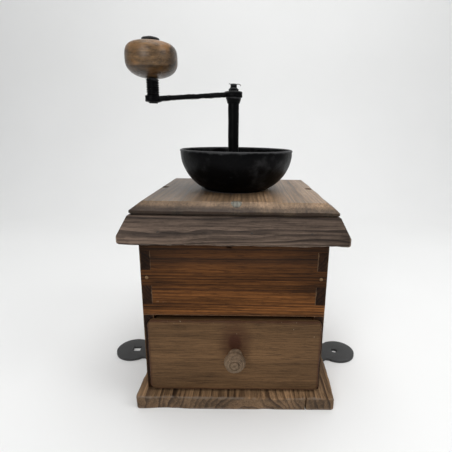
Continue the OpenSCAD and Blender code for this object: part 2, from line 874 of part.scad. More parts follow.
// Fixed burr: a ring with a flange under the lid and slanted grooves in its bore
module outer_burr() {
    groove = 2;
    slant = 12;
    color([0.2, 0.2, 0.21]) difference() {
        on_mill() {
            translate([0, 0, z_burr]) cylinder(h = burr_len, r = burr_r);
            translate([0, 0, z_flange]) cylinder(h = flange_t, r = flange_r);
        }
        on_mill() {
            translate([0, 0, z_burr]) cylinder(h = burr_len, r1 = burr_throat_r, r2 = burr_top_r);
            translate([0, 0, z_burr - cut]) cylinder(h = 2 * cut, r = burr_throat_r);
            translate([0, 0, z_lid - cut / 2]) cylinder(h = cut, r = burr_top_r);
            for (k = [0:groove_count - 1]) rotate([0, 0, 360 * k / groove_count])
                translate([burr_throat_r + burr_draft / 2, 0, z_burr + burr_len / 2])
                    rotate([slant, 0, 0]) rotate([0, 0, 45])
                        cube([groove, groove, 2 * burr_len], center = true);
        }
        at_burr_screws() mirror([0, 0, 1]) shank_hole(flange_t + cut, cut);
    }
}

// Two long screws reach through the stirrup's feet, two short ones only through the flange
module burr_screws() {
    color([0.2, 0.2, 0.2]) on_mill() for (a = QUARTERS) {
        foot = (a % 180 == 0) ? stirrup_t : 0;
        rotate([0, 0, a]) translate([flange_screw_r, 0, z_flange - foot]) mirror([0, 0, 1])
            round_screw(burr_screw_len - drill - stirrup_t + foot);
    }
}

// Turning burr: a core that narrows upwards, slanted blades and a toothed foot
module inner_burr() {
    head_room = 3;
    tall = burr_len - head_room;
    core_in = 5;
    core_wall = 2.4;
    tooth_h = 6;
    blade_t = 3.4;
    blade_slant = 28;
    blade_in = 0.8;
    notch = 2.2;
    notch_out = 0.2;
    color([0.19, 0.19, 0.2]) on_mill() translate([0, 0, z_burr]) difference() {
        intersection() {
            cylinder(h = tall, r1 = cone_r, r2 = cone_top_r);
            union() {
                translate([0, 0, -cut])
                    cylinder(h = tall + 2 * cut, r1 = cone_r - core_in, r2 = spindle_r + core_wall);
                translate([0, 0, -cut]) cylinder(h = tooth_h + cut, r = cone_r + cut);
                for (k = [0:blade_count - 1]) rotate([0, 0, 360 * k / blade_count])
                    rotate([blade_slant, 0, 0]) translate([spindle_r + blade_in, -blade_t / 2, -tall])
                        cube([cone_r, blade_t, 3 * tall]);
            }
        }
        for (k = [0:2 * blade_count - 1]) rotate([0, 0, 180 * (k + 0.5) / blade_count])
            translate([cone_r + notch_out, 0, 0]) rotate([0, 0, 45])
                cube([notch, notch, 2 * tooth_h - notch], center = true);
        translate([0, 0, -cut]) cylinder(h = tall + 2 * cut, r = spindle_r + drill);
        translate([0, 0, z_key - z_burr]) rotate([90, 0, 0])
            cylinder(h = 4 * cone_r, r = key_r + drill, center = true);
    }
}

// Cross pin that locks the turning burr to the spindle
module burr_key() {
    key_out = 2.6;
    color([0.3, 0.3, 0.3]) on_mill() translate([0, 0, z_key]) rotate([90, 0, 0])
        cylinder(h = 2 * (spindle_r + key_out), r = key_r, center = true);
}

// ---------------------------------------------------------------- spindle and stirrup

module spindle() {
    z_low = z_ball + ball_seat;
    color([0.1, 0.1, 0.105]) on_mill() difference() {
        union() {
            translate([0, 0, z_low]) cylinder(h = z_shoulder - z_low, r = spindle_r);
            translate([-square / 2, -square / 2, z_shoulder - cut]) cube([square, square, arm_t + cut]);
            translate([0, 0, z_shoulder]) cylinder(h = z_tip - z_shoulder, r = thread_r);
        }
        translate([0, 0, z_ball]) sphere(ball_r + run);
        translate([0, 0, z_key]) rotate([90, 0, 0])
            cylinder(h = 4 * spindle_r, r = key_r + drill, center = true);
        translate([0, 0, z_split]) rotate([0, 90, 0])
            cylinder(h = 4 * spindle_r, r = split_r + drill, center = true);
    }
}

module stirrup() {
    foot_x = flange_screw_r + stirrup_w / 2;
    color([0.16, 0.16, 0.17]) on_mill() difference() {
        union() {
            translate([-stirrup_x - stirrup_t, -stirrup_w / 2, z_bar])
                cube([2 * (stirrup_x + stirrup_t), stirrup_w, stirrup_t]);
            for (s = [-1, 1]) {
                translate([s * (stirrup_x + stirrup_t / 2) - stirrup_t / 2, -stirrup_w / 2, z_bar])
                    cube([stirrup_t, stirrup_w, z_flange - z_bar]);
                translate([(s < 0) ? -foot_x : stirrup_x, -stirrup_w / 2, z_flange - stirrup_t])
                    cube([foot_x - stirrup_x, stirrup_w, stirrup_t]);
            }
        }
        translate([0, 0, z_bar - cut]) cylinder(h = stirrup_t + 2 * cut, r = adjust_r + run);
        for (s = [-1, 1]) translate([s * flange_screw_r, 0, z_flange - stirrup_t - cut])
            cylinder(h = stirrup_t + 2 * cut, r = wood_r + drill);
    }
}

// Grind adjusting screw with a notched thumb disc and a cup for the ball
module adjust_screw() {
    z_high = z_ball - ball_seat;
    notch_out = 0.3;
    color([0.17, 0.17, 0.18]) on_mill() difference() {
        union() {
            translate([0, 0, z_high - screw_len]) cylinder(h = screw_len, r = adjust_r);
            translate([0, 0, z_high - screw_len]) cylinder(h = thumb_h, r = thumb_r);
        }
        translate([0, 0, z_ball]) sphere(ball_r + run);
        for (k = [0:thumb_notches - 1]) rotate([0, 0, 360 * k / thumb_notches])
            translate([thumb_r + notch_out, 0, z_high - screw_len - cut])
                cylinder(h = thumb_h + 2 * cut, r = thumb_notch_r);
    }
}

module lock_nut() {
    color([0.2, 0.2, 0.21]) on_mill() translate([0, 0, z_bar - nut_h]) difference() {
        cylinder(h = nut_h, r = nut_r, $fn = 6);
        translate([0, 0, -cut]) cylinder(h = nut_h + 2 * cut, r = adjust_r + run);
    }
}

module pivot_ball() {
    color([0.45, 0.45, 0.46]) on_mill() translate([0, 0, z_ball]) sphere(ball_r);
}

// ---------------------------------------------------------------- crank and handle

module crank_collar() {
    color([0.11, 0.11, 0.115]) on_mill() translate([0, 0, z_shoulder - collar_h]) difference() {
        cylinder(h = collar_h, r1 = spindle_r + collar_low, r2 = spindle_r + collar_top);
        translate([0, 0, -cut]) cylinder(h = collar_h + 2 * cut, r = spindle_r + drill);
    }
}

module on_handle() {
    translate([mill_x - crank_r, 0, 0]) children();
}

module crank_arm() {
    lean = asin(arm_drop / crank_r);
    hole = square + 2 * drill;
    color([0.13, 0.13, 0.135]) difference() {
        union() {
            on_mill() translate([0, 0, z_arm]) cylinder(h = arm_t, r = hub_r);
            on_mill() translate([0, 0, z_arm + arm_t / 2]) rotate([0, -lean, 0])
                translate([-crank_r, -arm_w / 2, -bar_t / 2]) cube([crank_r, arm_w, bar_t]);
            on_handle() translate([0, 0, z_eye - eye_t / 2]) cylinder(h = eye_t, r = eye_r);
        }
        on_mill() translate([-hole / 2, -hole / 2, z_arm - cut]) cube([hole, hole, arm_t + 2 * cut]);
        // Seat of the collar, so that the sloping bar doesn't dip into it
        on_mill() translate([0, 0, z_arm - collar_h]) cylinder(h = collar_h, r = hub_r);
        on_handle() translate([0, 0, z_eye - eye_t]) cylinder(h = 2 * eye_t, r = pin_r + drill);
    }
}

module crank_nut() {
    dome = cap_nut_r * cap_nut_dome;
    color([0.1, 0.1, 0.105]) on_mill() translate([0, 0, z_arm_top]) difference() {
        intersection() {
            cylinder(h = cap_nut_h, r = cap_nut_r, $fn = 6);
            translate([0, 0, cap_nut_h - dome]) sphere(dome);
        }
        translate([0, 0, -cut]) cylinder(h = cap_nut_h + 2 * cut, r = thread_r + drill);
    }
}

// Split pin through the spindle's tip: an eye on one side, a bent leg on the other
module split_pin() {
    reach = thread_r + split_out;
    leg_x = reach + cut;
    color([0.2, 0.2, 0.2]) on_mill() translate([0, 0, z_split]) {
        translate([-reach, 0, 0]) rotate([0, 90, 0])
            cylinder(h = reach + leg_x + split_leg_r / 2, r = split_r);
        translate([-reach, 0, 0]) sphere(split_eye_r);
        translate([leg_x, 0, -split_leg_r / 2]) rotate([0, split_bend, 0])
            cylinder(h = split_leg, r = split_leg_r);
    }
}

module handle_pin() {
    z_low = z_eye - eye_t / 2;
    z_high = z_knob_top + gap + washer_t;
    color([0.12, 0.12, 0.125]) on_handle() {
        translate([0, 0, z_low - pin_head_h]) cylinder(h = pin_head_h, r1 = pin_r, r2 = pin_head_r);
        translate([0, 0, z_low - pin_head_h]) cylinder(h = z_high - z_low + 2 * pin_head_h, r = pin_r);
        translate([0, 0, z_high]) cylinder(h = pin_head_h, r1 = pin_head_r, r2 = pin_r);
    }
}

// Forged sleeve with shallow rings
module handle_sleeve() {
    ring = 1.1;
    ring_d = 0.4;
    count = floor(sleeve_h / (2 * ring)) - 1;
    color([0.1, 0.1, 0.105]) on_handle() translate([0, 0, z_sleeve]) difference() {
        union() {
            cylinder(h = sleeve_h, r = sleeve_r - ring_d);
            for (k = [0:count]) translate([0, 0, ring * (2 * k + 0.5)]) cylinder(h = ring, r = sleeve_r);
        }
        translate([0, 0, -cut]) cylinder(h = sleeve_h + 2 * cut, r = pin_r + drill);
    }
}

// Half outline of the handle, its lower half rounder than its upper one
function handle_point(a) =
    let (n = (a < 0) ? handle_low_n : handle_top_n,
        low = handle_h * handle_mid,
        tall = (a < 0) ? low : handle_h - low)
    [handle_r * pow(cos(a), 2 / n), low + sign(a) * tall * pow(abs(sin(a)), 2 / n)];

module handle_knob() {
    last = 90 - handle_step;
    color([0.48, 0.33, 0.19]) on_handle() translate([0, 0, z_knob]) difference() {
        rotate_extrude() polygon(concat([[0, 0]],
            [for (a = [-last:handle_step:last]) handle_point(a)], [[0, handle_h]]));
        translate([0, 0, -cut]) cylinder(h = handle_h + 2 * cut, r = pin_r + run);
    }
}

module handle_washer() {
    color([0.1, 0.1, 0.105]) on_handle() translate([0, 0, z_knob_top + gap]) difference() {
        cylinder(h = washer_t, r = washer_r);
        translate([0, 0, -cut]) cylinder(h = washer_t + 2 * cut, r = pin_r + drill);
    }
}

base_plate();
mount_strap();
strap_screws();
side_left();
side_right();
front_panel();
back_panel();
case_nails();
base_screws();
cornice_front();
cornice_back();
cornice_left();
cornice_right();
cornice_nails();
lid_board();
lid_screws();
lid_plugs();
drawer_front();
drawer_left();
drawer_right();
drawer_back();
drawer_bottom();
drawer_nails();
drawer_knob();
drawer_knob_screw();
hopper_bowl();
hopper_screws();
spindle_bridge();
bridge_rivets();
outer_burr();
burr_screws();
inner_burr();
burr_key();
spindle();
stirrup();
adjust_screw();
lock_nut();
pivot_ball();
crank_collar();
crank_arm();
crank_nut();
split_pin();
handle_pin();
handle_sleeve();
handle_knob();
handle_washer();
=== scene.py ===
"""Looks of an old box coffee mill: waxed wood, blackened iron and a soft white studio."""

import logging
import math
from collections.abc import Callable, Iterable, Sequence
from dataclasses import dataclass, replace
from enum import Enum

import bmesh
import bpy
from mathutils import Matrix, Vector, noise


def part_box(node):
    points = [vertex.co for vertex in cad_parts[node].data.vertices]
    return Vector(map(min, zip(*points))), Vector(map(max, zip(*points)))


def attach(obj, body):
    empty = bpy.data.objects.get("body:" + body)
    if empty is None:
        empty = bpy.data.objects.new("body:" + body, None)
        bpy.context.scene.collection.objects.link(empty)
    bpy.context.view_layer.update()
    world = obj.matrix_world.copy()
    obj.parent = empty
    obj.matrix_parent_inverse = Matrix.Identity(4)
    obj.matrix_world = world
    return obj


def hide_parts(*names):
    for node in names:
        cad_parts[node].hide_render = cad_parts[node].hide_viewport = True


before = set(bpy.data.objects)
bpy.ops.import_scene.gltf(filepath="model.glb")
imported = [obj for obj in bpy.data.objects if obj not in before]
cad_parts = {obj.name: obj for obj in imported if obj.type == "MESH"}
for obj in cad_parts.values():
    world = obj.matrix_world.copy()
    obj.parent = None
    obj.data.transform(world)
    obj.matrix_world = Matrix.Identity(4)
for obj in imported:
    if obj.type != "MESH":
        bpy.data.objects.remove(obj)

LOG = logging.getLogger("coffee_mill")
MM = 0.001
Colour = tuple[float, float, float]
Point = tuple[float, float, float]
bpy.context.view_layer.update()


class Axis(Enum):
    """A direction of the object's own frame."""

    X = 0
    Y = 1
    Z = 2

    @property
    def across(self) -> tuple[int, int]:
        """The two other directions."""
        return tuple(k for k in range(3) if k != self.value)


class Head(Enum):
    """The head of a fastener."""

    COUNTERSUNK = "countersunk"
    ROUND = "round"
    NAIL = "nail"


# ------------------------------------------------------------------ shader graph


class Wire:
    """A shader output that takes part in Python arithmetic."""

    def __init__(self, graph: "Graph", socket: bpy.types.NodeSocket) -> None:
        """Keeps the graph that the output belongs to."""
        self.graph = graph
        self.socket = socket

    def math(self, operation: str, *others: "Wire | float") -> "Wire":
        """Adds one Math node.

        Args:
            operation: the Math node's operation.
            others: the node's further operands.

        Returns:
            The node's output.
        """
        operands = dict(enumerate([self, *others]))
        return self.graph.node("ShaderNodeMath", {"operation": operation}, operands)["Value"]

    def __add__(self, other: "Wire | float") -> "Wire":
        """Sum."""
        return self.math("ADD", other)

    __radd__ = __add__

    def __sub__(self, other: "Wire | float") -> "Wire":
        """Difference."""
        return self.math("SUBTRACT", other)

    def __rsub__(self, other: float) -> "Wire":
        """Difference from a number."""
        return self.math("MULTIPLY", -1.0) + other

    def __mul__(self, other: "Wire | float") -> "Wire":
        """Product."""
        return self.math("MULTIPLY", other)

    __rmul__ = __mul__

    def __truediv__(self, other: "Wire | float") -> "Wire":
        """Quotient."""
        return self.math("DIVIDE", other)

    def __pow__(self, other: "Wire | float") -> "Wire":
        """Power."""
        return self.math("POWER", other)

    def __abs__(self) -> "Wire":
        """Absolute value."""
        return self.math("ABSOLUTE")

    def low(self, other: "Wire | float") -> "Wire":
        """The smaller of two values."""
        return self.math("MINIMUM", other)

    def high(self, other: "Wire | float") -> "Wire":
        """The larger of two values."""
        return self.math("MAXIMUM", other)

    def step(self, start: float, end: float) -> "Wire":
        """A smooth 0 to 1 as the value goes from start to end.

        Args:
            start: the value where the result is 0.
            end: the value where the result is 1, which may be the smaller one.

        Returns:
            The smooth step.
        """
        if start > end:
            return 1.0 - self.step(end, start)
        settings = {"interpolation_type": "SMOOTHSTEP"}
        inputs = {"Value": self, "From Min": start, "From Max": end}
        return self.graph.node("ShaderNodeMapRange", settings, inputs)["Result"]

    def bell(self, middle: float, width: float) -> "Wire":
        """A smooth bump of height 1 round a value."""
        return abs(self - middle).step(width, 0.0)


class Graph:
    """The node tree of one material."""

    def __init__(self, name: str) -> None:
        """Starts an empty material of that name.

        Args:
            name: the material's name.
        """
        self.material = bpy.data.materials.new(name)
        self.material.use_nodes = True
        self.tree = self.material.node_tree
        self.tree.nodes.clear()

    def node(self, kind: str, settings: dict | None = None, inputs: dict | None = None) -> dict:
        """Adds a node, sets its options, then its inputs.

        Args:
            kind: the node's type.
            settings: option values by attribute name.
            inputs: numbers, tuples or wires by socket name or index.

        Returns:
            The node's enabled outputs by name.
        """
        made = self.tree.nodes.new(kind)
        for option, value in (settings or {}).items():
            setattr(made, option, value)
        for key, value in (inputs or {}).items():
            named = [s for s in made.inputs if s.enabled and s.name == key]
            target = made.inputs[key] if isinstance(key, int) else named[0]
            if isinstance(value, Wire):
                self.tree.links.new(value.socket, target)
            else:
                target.default_value = value
        return {s.name: Wire(self, s) for s in made.outputs if s.enabled}

    def place(self) -> Wire:
        """Object coordinates in millimetres."""
        coordinates = self.node("ShaderNodeTexCoord")["Object"]
        return self.vector("SCALE", coordinates, scale=1.0 / MM)

    def vector(self, operation: str, *operands: Wire | Point, scale: float | None = None) -> Wire:
        """Adds one Vector Math node.

        Args:
            operation: the node's operation.
            operands: its vectors.
            scale: its Scale input, where the operation has one.

        Returns:
            The vector, or the number that the operation gives.
        """
        inputs: dict = dict(enumerate(operands))
        if scale is not None:
            inputs["Scale"] = scale
        outputs = self.node("ShaderNodeVectorMath", {"operation": operation}, inputs)
        return outputs.get("Vector") or outputs["Value"]

    def split(self, vector: Wire) -> tuple[Wire, Wire, Wire]:
        """The three parts of a vector."""
        parts = self.node("ShaderNodeSeparateXYZ", inputs={"Vector": vector})
        return parts["X"], parts["Y"], parts["Z"]

    def noise(self, vector: Wire, scale: Point | float, detail: float = 2.0, rough: float = 0.5) -> Wire:
        """Smooth noise from 0 to 1.

        Args:
            vector: where it is read, in millimetres.
            scale: repeats a millimetre, the same each way or one for each direction.
            detail: how many finer layers are added.
            rough: how strong the finer layers are.

        Returns:
            The noise.
        """
        steps = scale if isinstance(scale, tuple) else (scale, scale, scale)
        stretched = self.vector("MULTIPLY", vector, steps)
        inputs = {"Vector": stretched, "Scale": 1.0, "Detail": detail, "Roughness": rough}
        return self.node("ShaderNodeTexNoise", inputs=inputs)["Fac"]

    def cells(self, vector: Wire, scale: float) -> Wire:
        """Distance to the nearest of many scattered points, in cell widths."""
        inputs = {"Vector": vector, "Scale": scale, "Randomness": 1.0}
        return self.node("ShaderNodeTexVoronoi", inputs=inputs)["Distance"]

    def mix(self, share: Wire | float, first: Wire | Colour, second: Wire | Colour) -> Wire:
        """Blends two colours.

        Args:
            share: how much of the second colour shows.
            first: the colour where the share is 0.
            second: the colour where the share is 1.

        Returns:
            The blended colour.
        """
        pair = [c if isinstance(c, Wire) else (*c, 1.0) for c in (first, second)]
        settings = {"data_type": "RGBA", "clamp_factor": True}
        inputs = {"Factor": share, "A": pair[0], "B": pair[1]}
        return self.node("ShaderNodeMix", settings, inputs)["Result"]

    def shade(self, colour: Wire | Colour, factor: Wire) -> Wire:
        """A colour made lighter or darker by a factor.

        Args:
            colour: the colour, or a fixed one.
            factor: what each channel is multiplied by.

        Returns:
            The new colour.
        """
        grey = self.node("ShaderNodeCombineColor", inputs={"Red": factor, "Green": factor, "Blue": factor})
        pair = {"A": colour if isinstance(colour, Wire) else (*colour, 1.0), "B": grey["Color"]}
        settings = {"data_type": "RGBA", "blend_type": "MULTIPLY"}
        return self.node("ShaderNodeMix", settings, {"Factor": 1.0, **pair})["Result"]

    def edge(self, place: Wire, box: tuple[Vector, Vector]) -> Wire:
        """Distance along the surface of a box to its nearest edge, in millimetres.

        Args:
            place: the coordinates in millimetres.
            box: the box's low and high corners in metres.

        Returns:
            The distance.
        """
        low, high = (corner / MM for corner in box)
        parts = self.split(place)
        near = [(part - low[k]).low(part * -1.0 + high[k]) for k, part in enumerate(parts)]
        return near[0].low(near[1]).high(near[0].high(near[1]).low(near[2]))

    def finish(
        self, colour: Wire, rough: Wire, height: Wire, depth_mm: float, **fixed: float
    ) -> bpy.types.Material:
        """Joins the surface's parts in one shader.

        Args:
            colour: its colour.
            rough: its roughness.
            height: its relief, from 0 to 1.
            depth_mm: how deep that relief is.
            fixed: values of further sockets, by name with _ for a space.

        Returns:
            The finished material.
        """
        relief = {"Strength": 1.0, "Distance": depth_mm * MM, "Height": height}
        bump = self.node("ShaderNodeBump", inputs=relief)
        inputs: dict = {"Base Color": colour, "Roughness": rough, "Normal": bump["Normal"]}
        inputs.update({name.replace("_", " "): value for name, value in fixed.items()})
        shader = self.node("ShaderNodeBsdfPrincipled", inputs=inputs)
        self.node("ShaderNodeOutputMaterial", inputs={"Surface": shader["BSDF"]})
        return self.material


# ------------------------------------------------------------------ finishes


@dataclass(frozen=True)
class Wood:
    """Solid wood with growth rings, fibres and pores that run right through the board."""

    name: str
    slot: str
    early: Colour
    late: Colour
    pore: Colour
    worn: Colour
    grain: Axis = Axis.X
    pith: tuple[float, float] = (60.0, -90.0)
    ring_mm: float = 4.5
    warp_mm: float = 2.0
    contrast: float = 0.8
    fibre: float = 0.6
    patches: float = 0.35
    bands: float = 0.5
    streaks: float = 0.6
    calm: float = 0.0
    sway_mm: float = 3.0
    end_shade: float = 0.5
    end_worn: float = 0.0
    wear_mm: float = 1.6
    wear: float = 0.6
    rough: float = 0.55
    coat: float = 0.0
    shine: float = 0.1
    relief_mm: float = 0.25

    def along(self, grain_step: float, cross_step: float) -> Point:
        """A noise scale with one value along the grain and one across it."""
        return tuple(grain_step if k == self.grain.value else cross_step for k in range(3))

    def marks(self, graph: Graph, colour: Wire, place: Wire, edge: Wire) -> Wire:
        """Stains and scuffs of one particular board; plain wood has none."""
        return colour

    def facing(self, graph: Graph) -> Wire:
        """How far a face looks along the grain, from 0 on long grain to 1 on end grain."""
        normal = graph.node("ShaderNodeTexCoord")["Normal"]
        return abs(graph.split(normal)[self.grain.value])

    def rings(self, graph: Graph, place: Wire) -> tuple[Wire, Wire]:
        """Growth rings round the pith.

        Args:
            graph: the material's graph.
            place: coordinates in millimetres.

        Returns:
            The late wood's share, from 0 to 1, and a number for each ring.
        """
        first, second = (graph.split(place)[k] for k in self.grain.across)
        broad = graph.noise(place, self.along(0.005, 0.012), detail=1.0) - 0.5
        small = graph.noise(place, self.along(0.015, 0.09), detail=2.0) - 0.5
        uneven = graph.noise(place, self.along(0.002, 0.05), detail=2.0) - 0.5
        radius = ((first - self.pith[0]) ** 2.0 + (second - self.pith[1]) ** 2.0) ** 0.5
        bent = radius + broad * (4.0 * self.sway_mm) + small * self.warp_mm
        turns = bent / self.ring_mm + uneven * 3.0
        part = turns.math("FRACT")
        late = part.step(0.2, 0.88) * part.step(1.0, 0.92)
        whole = {"W": turns.math("FLOOR")}
        number = graph.node("ShaderNodeTexWhiteNoise", {"noise_dimensions": "1D"}, whole)
        return late, number["Value"]

    def material(self, box: tuple[Vector, Vector]) -> bpy.types.Material:
        """Builds the finish for a board that fills a box.

        Args:
            box: the board's low and high corners, in metres.

        Returns:
            The material.
        """
        graph = Graph(self.name)
        place = graph.place()
        late, number = self.rings(graph, place)
        facing = self.facing(graph)
        late = late * (0.25 + number * 0.95) * self.contrast * (1.0 - facing.step(0.25, 0.5) * self.calm)
        fibres = graph.noise(place, self.along(0.03, 0.9), detail=4.0, rough=0.62)
        pores = graph.noise(place, self.along(0.08, 2.4), detail=3.0, rough=0.6).step(0.54, 0.66)
        blotch = graph.noise(place, self.along(0.008, 0.028), detail=3.0)
        band = graph.noise(place, self.along(0.0025, 0.06), detail=3.0, rough=0.6)
        streak = graph.noise(place, self.along(0.01, 0.5), detail=5.0, rough=0.75)
        dust = graph.noise(place, 0.5, detail=4.0, rough=0.7)

        colour = graph.mix(late, self.early, self.late)
        colour = graph.mix(fibres.step(0.42, 0.68) * self.fibre * 0.7, colour, self.late)
        colour = graph.mix(pores * self.fibre, colour, self.pore)
        tone = 1.0 + (blotch - 0.5) * (2.6 * self.patches) + (dust - 0.5) * 0.3
        tone = tone + (band - 0.5) * (3.0 * self.bands) + (streak - 0.5) * (2.4 * self.streaks)
        colour = graph.shade(colour, tone.high(0.12) * (1.0 - facing.step(0.6, 0.9) * self.end_shade))

        colour = graph.mix(facing.step(0.6, 0.9) * self.end_worn, colour, self.worn)
        edge = graph.edge(place, box)
        ragged = edge + (graph.noise(place, 0.16, detail=3.0) - 0.5) * (2.6 * self.wear_mm)
        rubbed = ragged.step(self.wear_mm, 0.0) * self.wear
        colour = graph.mix(rubbed, colour, self.worn)
        colour = self.marks(graph, colour, place, edge)

        height = 0.55 - late * 0.2 - pores * 0.35 + fibres * 0.25 + dust * 0.25
        rough = self.rough + (dust - 0.5) * 0.2 + rubbed * 0.1 - late * 0.06 - (band - 0.5) * 0.3
        fixed = {"Coat_Weight": self.coat, "Coat_Roughness": 0.35, "Specular_IOR_Level": self.shine}
        return graph.finish(colour, rough, height, self.relief_mm, **fixed)


@dataclass(frozen=True)
class PanelWood(Wood):
    """The front panel: painted shade under the cornice and along its foot, lighter lower down, darker at
    its ends, scratched near a corner.
    """

    top_mm: float = 167.0
    # The colour of the painted shade under the cornice and along the foot.
    dark: Colour = (0.02, 0.011, 0.007)

    def marks(self, graph: Graph, colour: Wire, place: Wire, edge: Wire) -> Wire:
        """Painted shade under the cornice and along the foot, lighter lower down and a broken pale scratch.

        Args:
            graph: the material being made.
            colour: the wood's colour so far.
            place: the place on the piece, in millimetres.
            edge: how near each point is to an edge; not used here.

        Returns:
            The colour with the marks on it.
        """
        x, _, z = graph.split(place)
        drift = (graph.noise(place, (0.01, 0.01, 0.05)) - 0.5) * 9.0
        # Painted shade: a dark band under the cornice, the top 40 mm darker and a dark strip along the foot
        # above the drawer.
        band = (z + drift).bell(self.top_mm - 20.0, 12.0) * 0.6
        upper = (z + drift).step(self.top_mm - 40.0, self.top_mm) * 0.6
        foot = (z + drift * 0.3).step(97.0, 93.5) * 0.35
        colour = graph.mix(band.high(upper).high(foot), colour, self.dark)
        # Lighter towards the bottom and darker towards both ends.
        lower_part = (z + drift).step(128.0, 106.0)
        ends = (abs(x) + drift * 2.0).step(30.0, 84.0) * (1.0 - lower_part * 0.6)
        colour = graph.shade(colour, 1.04 + lower_part * 0.52 - ends * 0.42)
        scratch = (z + x * 0.05).bell(103.0, 0.9) * x.bell(-68.0, 7.0)
        broken = graph.noise(place, 0.7, detail=3.0).step(0.45, 0.6)
        return graph.mix(scratch * broken * 0.7, colour, self.worn)


@dataclass(frozen=True)
class LidWood(Wood):
    """The lid: a painted sheen lightens one side, and it is darker and smeared with brown along its front
    edge.
    """

    front_mm: float = -97.0
    smear: Colour = (0.03, 0.016, 0.009)

    def marks(self, graph: Graph, colour: Wire, place: Wire, edge: Wire) -> Wire:
        """A painted sheen that lightens the lid across its width, a darker front band and greasy smears at
        the front.

        Args:
            graph: the material being made.
            colour: the wood's colour so far.
            place: the place on the piece, in millimetres.
            edge: how near each point is to an edge; not used here.

        Returns:
            The colour with the marks on it.
        """
        x, y, _ = graph.split(place)
        drift = (graph.noise(place, (0.02, 0.02, 0.02)) - 0.5) * 40.0
        # Painted sheen: the lid grows lighter towards the right, where light glances off it.
        colour = graph.shade(colour, 0.75 + (x + drift).step(-60.0, 90.0) * 0.75)
        # Darker along the front edge.
        front = y.step(self.front_mm + 16.0, self.front_mm + 11.0)
        colour = graph.shade(colour, 1.0 - front * 0.6)
        patchy = graph.noise(place, (0.035, 0.09, 0.09), detail=4.0, rough=0.65).step(0.43, 0.57)
        return graph.mix(patchy * front * 0.8, colour, self.smear)


@dataclass(frozen=True)
class DrawerWood(Wood):
    """The drawer front: a reddish finger stain round the knob and chipped paint specks."""

    knob_mm: tuple[float, float] = (1.5, 54.0)
    stain: Colour = (0.05, 0.018, 0.01)
    chip: Colour = (0.42, 0.33, 0.22)

    def marks(self, graph: Graph, colour: Wire, place: Wire, edge: Wire) -> Wire:
        """The stain above the knob, dark rubbed edges and pale chips near the top.

        Args:
            graph: the material being made.
            colour: the wood's colour so far.
            place: the place on the piece, in millimetres.
            edge: how near each point is to an edge.

        Returns:
            The colour with the marks on it.
        """
        x, _, z = graph.split(place)
        wander = (graph.noise(place, 0.06, detail=3.0) - 0.5) * 14.0
        side = x - self.knob_mm[0] + wander * 0.4
        above = z - self.knob_mm[1] - 13.0 + wander * 0.4
        far = (side ** 2.0 + above ** 2.0 * 0.5) ** 0.5
        stain = far.step(19.0, 9.0) * 0.5 + far.step(9.0, 4.0) * 0.45
        colour = graph.mix(stain, colour, self.stain)
        colour = graph.shade(colour, 1.08 - x.step(-30.0, 85.0) * 0.26)
        grime = (edge + wander * 0.12).step(3.4, 0.3) * 0.75
        colour = graph.mix(grime, colour, self.stain)
        high = (z - self.knob_mm[1]).step(12.0, 20.0)
        scattered = graph.noise(place, 0.06, detail=2.0).step(0.54, 0.6) * high
        chips = graph.cells(place, 0.23).step(0.12, 0.07) * scattered
        nicks = graph.noise(place, 0.35, detail=2.0).step(0.67, 0.73) * edge.step(2.0, 0.6) * high
        return graph.mix((chips * 0.7).high(nicks * 0.6), colour, self.chip)


@dataclass(frozen=True)
class TurnedWood(Wood):
    """Wood turned on a lathe about an upright or level axis, with fine tool rings."""

    centre: tuple[float, float] = (0.0, 0.0)
    spin: Axis = Axis.Z
    tool_mm: float = 0.9
    tooled: float = 0.3
    glow: Colour = (0.3, 0.14, 0.045)
    # The last two fields set painted shade on the underside: the height where it is full, the height where
    # it ends, and how dark it is.
    grimy_mm: tuple[float, float] = (0.0, 0.0)
    grime: float = 0.0

    def marks(self, graph: Graph, colour: Wire, place: Wire, edge: Wire) -> Wire:
        """Tool rings round the spin axis, rubbed patches and painted shade on the underside.

        Args:
            graph: the material being made.
            colour: the wood's colour so far.
            place: the place on the piece, in millimetres.
            edge: how near each point is to an edge; not used here.

        Returns:
            The colour with the marks on it.
        """
        parts = graph.split(place)
        first, second = (parts[k] for k in self.spin.across)
        radius = ((first - self.centre[0]) ** 2.0 + (second - self.centre[1]) ** 2.0) ** 0.5
        rings = (radius + parts[self.spin.value]) * (2.0 * math.pi / self.tool_mm)
        groove = (rings.math("SINE") * 0.5 + 0.5) * graph.noise(place, 0.25).step(0.4, 0.65)
        colour = graph.mix(groove * self.tooled, colour, self.pore)
        rubbed = graph.noise(place, (0.04, 0.04, 0.07), detail=2.0).step(0.46, 0.66)
        colour = graph.mix(rubbed * self.wear * (1.0 - groove * 0.6), colour, self.glow)
        if not self.grime:
            return colour
        # Painted shade: darker towards the underside.
        low = (parts[2] + graph.noise(place, 0.08) * 6.0).step(self.grimy_mm[1], self.grimy_mm[0])
        return graph.shade(colour, 1.0 - low * self.grime)


